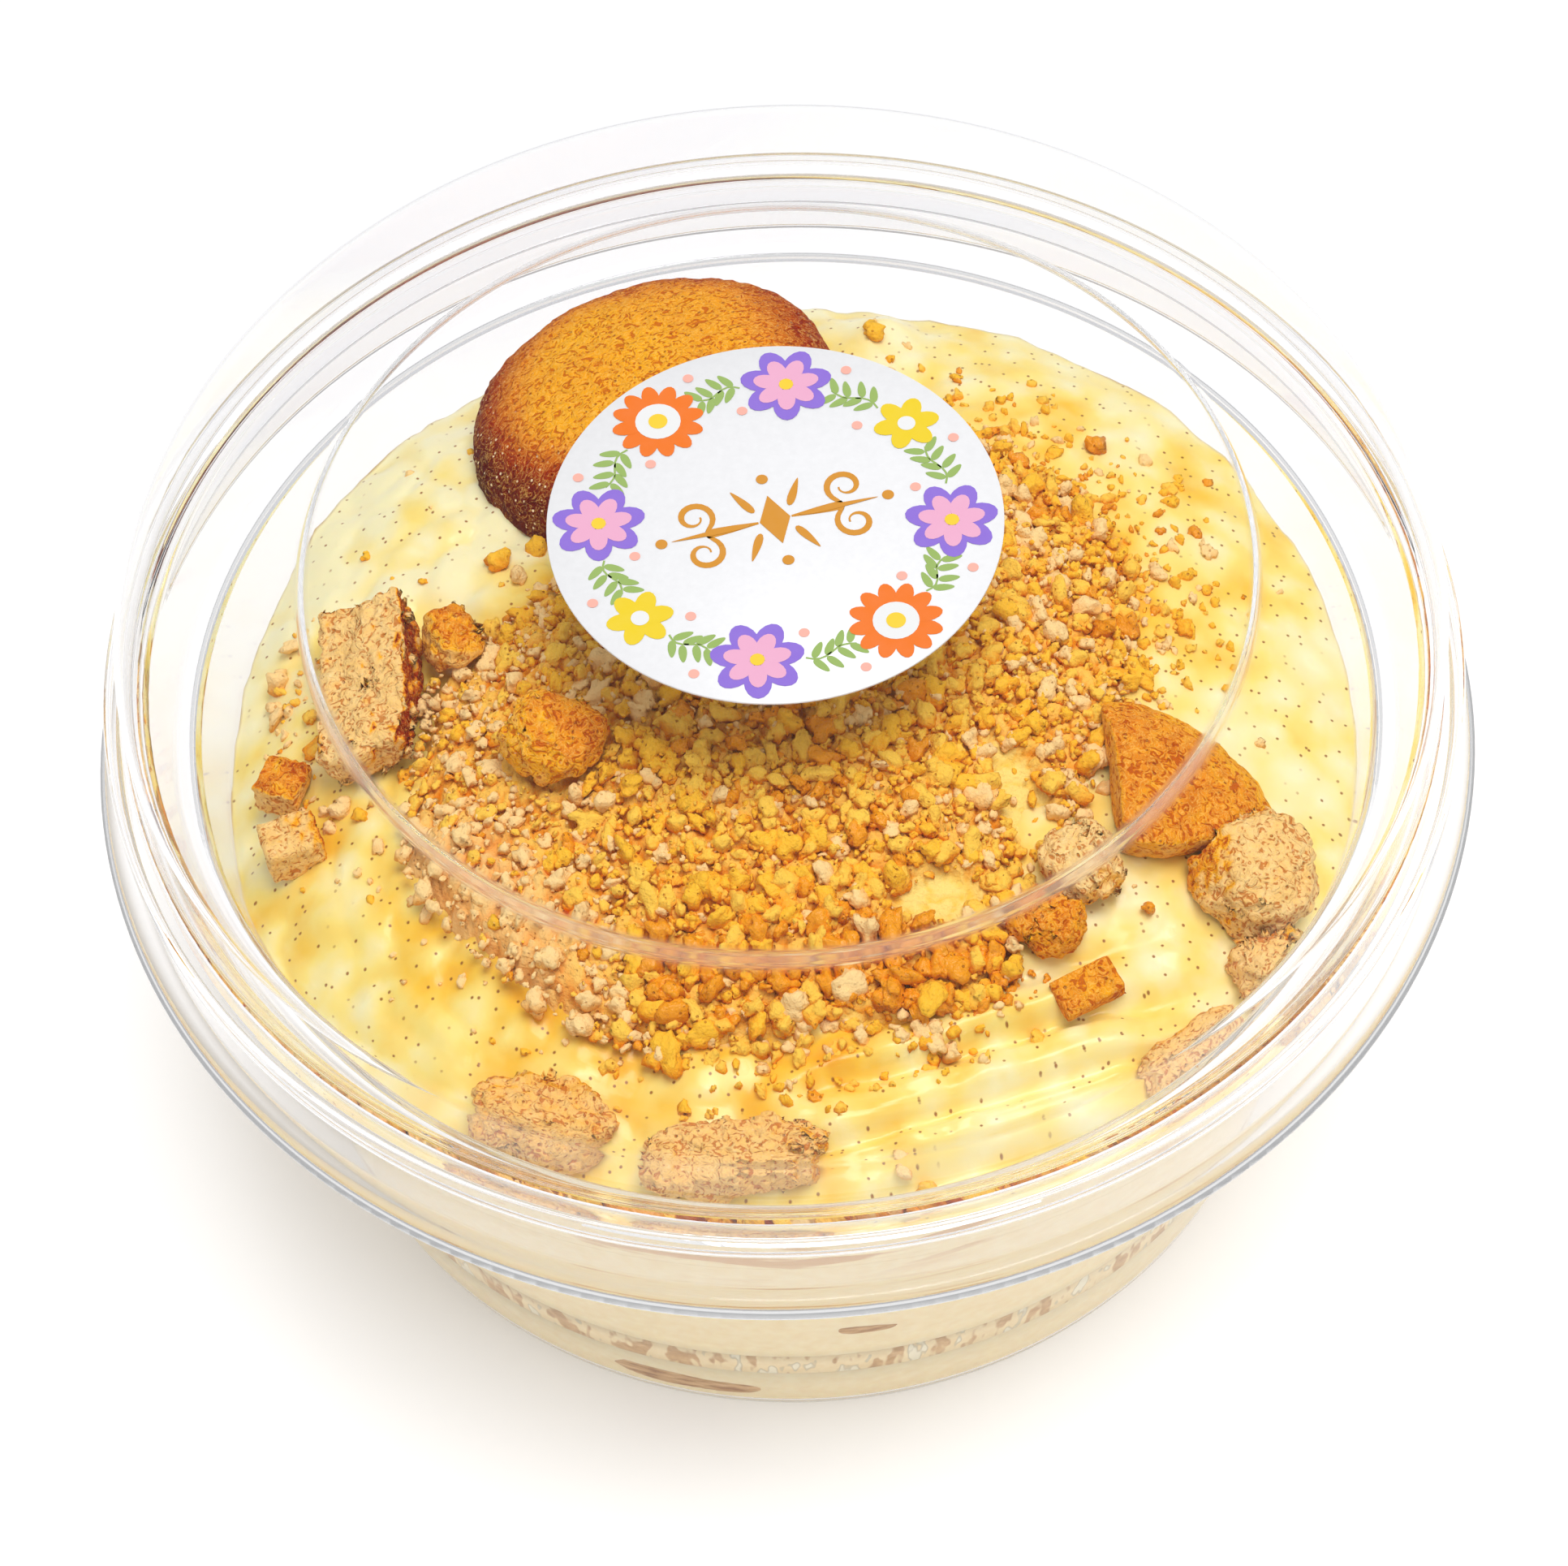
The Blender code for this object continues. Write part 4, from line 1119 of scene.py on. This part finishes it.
def crumb_shape(draw, triangles):
    """Points and triangles of one broken crumb: rough knobs, cut off flat on three sides."""
    item = grown_knobs(draw)
    seed = draw.uniform(0, 90)
    for vert in item.data.vertices:
        vert.co += vert.normal * (0.3 * bumps_at(vert.co, 1.6, seed)
                                  + 0.16 * bumps_at(vert.co, 3.6, seed))
    for _ in range(3):
        facing = random_facing(draw)
        limit = draw.uniform(0.6, 0.95)
        for vert in item.data.vertices:
            vert.co -= facing * max(0.0, vert.co.dot(facing) - limit)
    add_modifier(item, "DECIMATE", ratio=triangles / (2 * len(item.data.polygons)),
                 use_collapse_triangulate=True)
    apply_modifiers(item)
    stretch = (draw.uniform(0.85, 1.25), draw.uniform(0.75, 1.05), draw.uniform(0.55, 0.9))
    points = np.array([[co * s for co, s in zip(vert.co, stretch)]
                       for vert in item.data.vertices])
    faces = np.array([face.vertices[:] for face in item.data.polygons])
    bpy.data.objects.remove(item)
    return points, faces


def scatter(name, places, shapes, draw, look):
    """One piece made of a crumb at each place of (x, y, z, radius)."""
    points, faces, tones, count = [], [], [], 0
    for x, y, z, radius in places:
        size = "coarse" if radius > 0.85 else "fine" if radius > 0.38 else "dust"
        shape, triangles = draw.choice(shapes[size])
        turn = Euler([draw.uniform(0, 2 * pi) for _ in range(3)]).to_matrix()
        placed = shape @ np.array(turn).T
        points.append(placed * radius + np.array((x, y, z)))
        faces.append(triangles + count)
        # A random tone for each crumb, plus painted shade that darkens its lower side.
        tones.append(0.25 * draw.random() + 0.38 + 0.55 * placed[:, 2])
        count += len(shape)
    mesh = mesh_from(name, np.concatenate(points), np.concatenate(faces).tolist())
    item = add_object(name, mesh, look)
    store(item, tone=np.concatenate(tones))
    settle(item, "wafer_crumb")


def wafer_cover():
    """A function that tells whether a wafer lies over a place in the plan."""
    inside = ("wafer_layer", "wafer_side_low", "wafer_side_high")
    meshes = [item.data for name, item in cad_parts.items()
              if name.startswith("wafer_") and name not in inside]
    trees = [BVHTree.FromPolygons([vert.co.copy() for vert in mesh.vertices],
                                  [face.vertices[:] for face in mesh.polygons])
             for mesh in meshes]

    def covered(x, y):
        above = Vector((x, y, 90)) * MM
        return any(tree.ray_cast(above, Vector((0, 0, -1)))[0] for tree in trees)
    return covered


def crumb_kind(x, y, draw):
    """Which kind of crumb lies at a place: paler to the left, browner in the skirt,
    and browner under the label, where it is painted shadow.
    """
    pale = 0.12 + 1.5 * ease(10, 26, -x) + 0.3 * ease(12, 20, x) + 3.0 * fused(x, y)
    skirt = ease(24, 29, -y) * ease(-14, -8, x) * (1 - ease(30, 33, -y))
    back_right = ease(20, 32, hypot(x, y)) * ease(-2, 10, y) * ease(4, 14, x)
    patch = ease(0.05, 0.35, bumps(x, y, 0.12, 41))
    # Browner crumbs under the front of the label are a painted shadow.
    painted_label_shadow = exp(-((x + 1) ** 2 + (y + 11.5) ** 2) / 60)
    brown = 0.03 + 3.0 * skirt + 0.3 * back_right + 0.7 * painted_label_shadow
    golden, amber = 0.52, 0.26 + 0.7 * patch + 0.4 * back_right
    pick = draw.random() * (pale + brown + golden + amber)
    for kind, share in (("pale", pale), ("brown", brown), ("golden", golden)):
        if pick < share:
            return kind
        pick -= share
    return "amber"


def sparse_chance(x, y):
    """Chance that a loose crumb lies at a place outside the heap."""
    share, radius = heap_share(x, y), hypot(x, y)
    near = (1 - ease(1.0, 1.18, share)) * (0.25 + 0.75 * ease(-16, -4, x))
    back_right = ease(0, 14, x) * ease(-8, 6, y) * (1 - ease(36, 44, radius))
    left = ease(32, 38, -x) * ease(-10, -4, y) * (1 - ease(8, 16, y))
    return 0.7 * near + 0.3 * back_right + 0.4 * left + 0.012


def spread_out(draw, spacing, keep, rounds):
    """Places in the plan, one in each cell of a grid at most, where keep(x, y) says yes."""
    taken, places = set(), []
    cell = spacing / sqrt(2)
    for _ in range(rounds):
        reach, angle = CRUMB_REACH * sqrt(draw.random()), draw.uniform(-pi, pi)
        x, y = polar(reach, angle)
        home = (math.floor(x / cell), math.floor(y / cell))
        if home not in taken and keep(x, y):
            taken.add(home)
            places.append((x, y))
    return places


def crumb_places(draw, covered):
    """Places (x, y, z, radius) of the crumbs of each kind, on the heap and round it."""
    kinds = {kind: [] for kind in CRUMB_FINISH}

    def free(x, y):
        return hypot(x, y) < wall_radius(wall_level(x, y)) - WALL_GAP and not covered(x, y)

    def on_heap(x, y):
        return heap_share(x, y) < 1 and free(x, y)

    def in_skirt(x, y):
        return y < -22 and x > -12 and on_heap(x, y)

    def loose(x, y):
        return heap_share(x, y) >= 1 and draw.random() < sparse_chance(x, y) and free(x, y)

    def lay(places, low, high, smallest, largest, thinned=0.3):
        """Crumbs between two heights over the heap and two radii, fewer where it is fused."""
        for x, y in places:
            bare, melt = in_bands(x, y, BARE_BANDS), fused(x, y)
            if draw.random() < max(thinned * melt, 0.9 * bare):
                continue
            finer = 1 - 0.2 * ease(12, 22, -x) - 0.3 * bare
            z = pudding_height(x, y) + heap_thickness(x, y) + draw.uniform(low, high)
            radius = (smallest + (largest - smallest) * draw.random() ** 1.6) * finer
            z += 1.1 * melt - bare
            kinds[crumb_kind(x, y, draw)].append((x, y, z, radius))

    lay(spread_out(draw, 1.25, on_heap, 30000), -0.8, -0.35, 0.42, 0.8, 0.35)
    lay(spread_out(draw, 2.5, on_heap, 9000), -0.55, -0.15, 0.86, 1.8)
    lay(spread_out(draw, 2.6, on_heap, 9000), -0.1, 0.3, 0.22, 0.38, 0.5)
    lay(spread_out(draw, 4.0, in_skirt, 9000), -0.4, 0.0, 1.4, 2.2)
    for x, y in spread_out(draw, 1.3, loose, 9000):
        radius = draw.uniform(0.25, 0.7) if draw.random() < 0.85 else draw.uniform(0.7, 1.1)
        z = fine_pudding_height(x, y) + radius * 0.1
        kinds[crumb_kind(x, y, draw)].append((x, y, z, radius))
    return kinds


def add_clusters(kinds, draw):
    for middle_x, middle_y, spread, count in CLUSTERS:
        for _ in range(count):
            x, y = draw.gauss(middle_x, spread), draw.gauss(middle_y, spread * 0.5)
            radius = draw.uniform(0.5, 1.4)
            kind = "pale" if draw.random() < 0.6 else "golden"
            kinds[kind].append((x, y, fine_pudding_height(x, y) + radius * 0.2, radius))


def add_bits(kinds):
    for kind, bits in BITS.items():
        for x, y, radius in bits:
            on_top = heap_thickness(x, y) - 0.6 if heap_share(x, y) < 1 else 0.0
            z = fine_pudding_height(x, y) + radius * 0.3 + on_top
            kinds[kind].append((x, y, z, radius))


def make_crumbs(covered):
    """A bed of crumbs on the heap, larger and smaller ones over it, and loose ones round it."""
    draw = random.Random(41)
    shapes = {size: [crumb_shape(draw, triangles) for _ in range(count)]
              for size, (triangles, count) in CRUMB_SHAPES.items()}
    kinds = crumb_places(draw, covered)
    add_clusters(kinds, draw)
    add_bits(kinds)
    for kind, places in kinds.items():
        scatter("crumbs_" + kind, places, shapes, draw, crumb_look(kind))


def pebbles(x, y, size, seed):
    """Relief of crumbs grown together: 0 in the cracks, 1 on the flat tops."""
    bent = Vector((x + 0.5 * bumps(x, y, 0.8, seed), y + 0.5 * bumps(x, y, 0.8, seed + 1), 0))
    near, second = noise.voronoi(bent / size)[0][:2]
    return ease(0.0, 0.3, second - near)


def make_heap_core():
    """The bed of crumbs grown together that the loose ones lie on."""
    tones = {}

    def top(x, y):
        share = heap_share(x, y)
        melt = fused(x, y)
        sink = 1.15 - 1.5 * melt + (1.6 + 1.4 * melt) * ease(0.93, 1.0, share)
        coarse, fine = pebbles(x, y, 2.2, 4), pebbles(x, y, 0.95, 9)
        relief = 0.5 * coarse + 0.28 * fine + 0.3 * bumps(x, y, 0.5, 5)
        relief += 0.5 * melt * (coarse + 0.6 * fine - 1)
        # Lighter on the flat tops and darker in the cracks, as painted shade, with some random
        # tone.
        tones[x, y] = 0.15 + 0.45 * coarse + 0.3 * fine + 0.2 * bumps(x, y, 0.5, 17)
        bare = in_bands(x, y, BARE_BANDS)
        return (pudding_height(x, y) + heap_thickness(x, y) - sink + relief * (1 - 0.7 * bare)
                - 0.8 * bare)

    def edge(angle):
        return look_up(HEAP_RADII, math.degrees(angle))

    def skirt(angle):
        reach = edge(angle)
        low = pudding_height(*polar(reach, angle)) - 2.2
        return [(reach, low), (reach * 0.5, CROWN_HEIGHT - 5)]

    core = round_surface("crumb_core", top, edge, skirt, core_look(), sides=400, rings=115)
    plan = [(vert.co.x / MM, vert.co.y / MM) for vert in core.data.vertices]
    tone = list(tones.values())
    store(core, tone=tone + [0.0] * (len(plan) - len(tone)),
          pale=[fused(x, y) for x, y in plan],
          bare=[in_bands(x, y, BARE_BANDS) for x, y in plan])
    settle(core, "wafer_crumb", "crumb_heap")


# Stage

def make_floor():
    mesh = bpy.data.meshes.new("floor")
    shape = bmesh.new()
    bmesh.ops.create_grid(shape, x_segments=1, y_segments=1, size=3.0)
    shape.to_mesh(mesh)
    shape.free()
    look = principled("floor_look", Roughness=0.9, Base_Color=(0.82, 0.82, 0.83, 1.0),
                      Specular_IOR_Level=0.1, Emission_Color=WHITE, Emission_Strength=0.2)[0]
    add_object("floor", mesh, look)


def area_light(name, place, size, watts):
    """A square lamp at a place in metres, aimed at the cup."""
    lamp = bpy.data.lights.new(name, "AREA")
    lamp.size = size
    lamp.energy = watts
    holder = bpy.data.objects.new(name, lamp)
    holder.location = place
    aim = Vector(CAMERA_TARGET) * MM - Vector(place)
    holder.rotation_euler = aim.to_track_quat("-Z", "Y").to_euler()
    bpy.context.scene.collection.objects.link(holder)
    return holder


def keep_out_of(lamp, piece):
    """A piece neither mirrors a lamp nor takes its light, which still shines through it."""
    unlit = bpy.data.collections.new("unlit")
    unlit.objects.link(piece)
    unlit.collection_objects[0].light_linking.link_state = "EXCLUDE"
    lamp.light_linking.receiver_collection = unlit


def make_lights():
    """A bright surround, dark where the flat lid mirrors it, and a soft lamp overhead.

    The surround lights things less than it shows in the plastic, so that shadows stay deep.
    """
    world = bpy.data.worlds.new("surround")
    bpy.context.scene.world = world
    world.use_nodes = True
    world.cycles.sampling_method = "NONE"
    tree = world.node_tree
    place, path = node(tree, "TexCoord").outputs["Generated"], node(tree, "LightPath").outputs
    sky = ramp(up(place), (0.0, (0.86, 0.87, 0.9, 1)), (0.35, WHITE))
    mirrored = node(tree, "VectorMath", {"operation": "DOT_PRODUCT"})
    feed(mirrored.inputs[0], place)
    feed(mirrored.inputs[1], (0.0, *polar(1.0, radians(CAMERA_ELEVATION))))
    early = calculated("LESS_THAN", path["Ray Depth"], PATCH_DEPTH)
    patch = times(rising(mirrored.outputs["Value"], *PATCH_EDGE),
                  plus(times(early, 1 - PATCH_LATER), PATCH_LATER))
    feed_all(tree.nodes["Background"], Color=mix(patch, sky, PATCH_COLOUR),
             Strength=minus(SKY_STRENGTH, times(path["Is Diffuse Ray"], SKY_HELD_BACK)))
    return area_light("key", *KEY_LAMP)


def make_camera():
    elevation = radians(CAMERA_ELEVATION)
    back = Vector((0, -cos(elevation), sin(elevation)))
    right = Vector((1, 0, 0))
    turn = Matrix((right, back.cross(right), back)).transposed().to_4x4()
    camera = bpy.data.objects.new("camera", bpy.data.cameras.new("camera"))
    camera.data.lens = CAMERA_LENS
    camera.data.sensor_width = 36.0
    camera.data.sensor_fit = "HORIZONTAL"
    camera.data.clip_start = 0.01
    bpy.context.scene.collection.objects.link(camera)
    place = (Vector(CAMERA_TARGET) + back * CAMERA_DISTANCE) * MM
    roll = Matrix.Rotation(radians(CAMERA_ROLL), 4, "Z")
    camera.matrix_world = Matrix.Translation(place) @ turn @ roll
    bpy.context.scene.camera = camera


def set_render():
    scene = bpy.context.scene
    scene.view_settings.view_transform = "Standard"
    for name, value in CYCLES.items():
        setattr(scene.cycles, name, value)


def build():
    """Make the stage and every piece, in this order."""
    make_camera()
    key = make_lights()
    make_floor()
    set_render()
    make_cup()
    keep_out_of(key, make_lid())
    make_sticker()
    make_print()
    pudding = pudding_look()
    make_upper_pudding(pudding)
    make_lower_pudding(pudding)
    make_soaked_layer()
    wafer = wafer_look()
    make_whole_wafer(wafer)
    make_fragments(wafer)
    make_side_wafers(soaked_look())
    make_heap_core()
    make_crumbs(wafer_cover())


build()
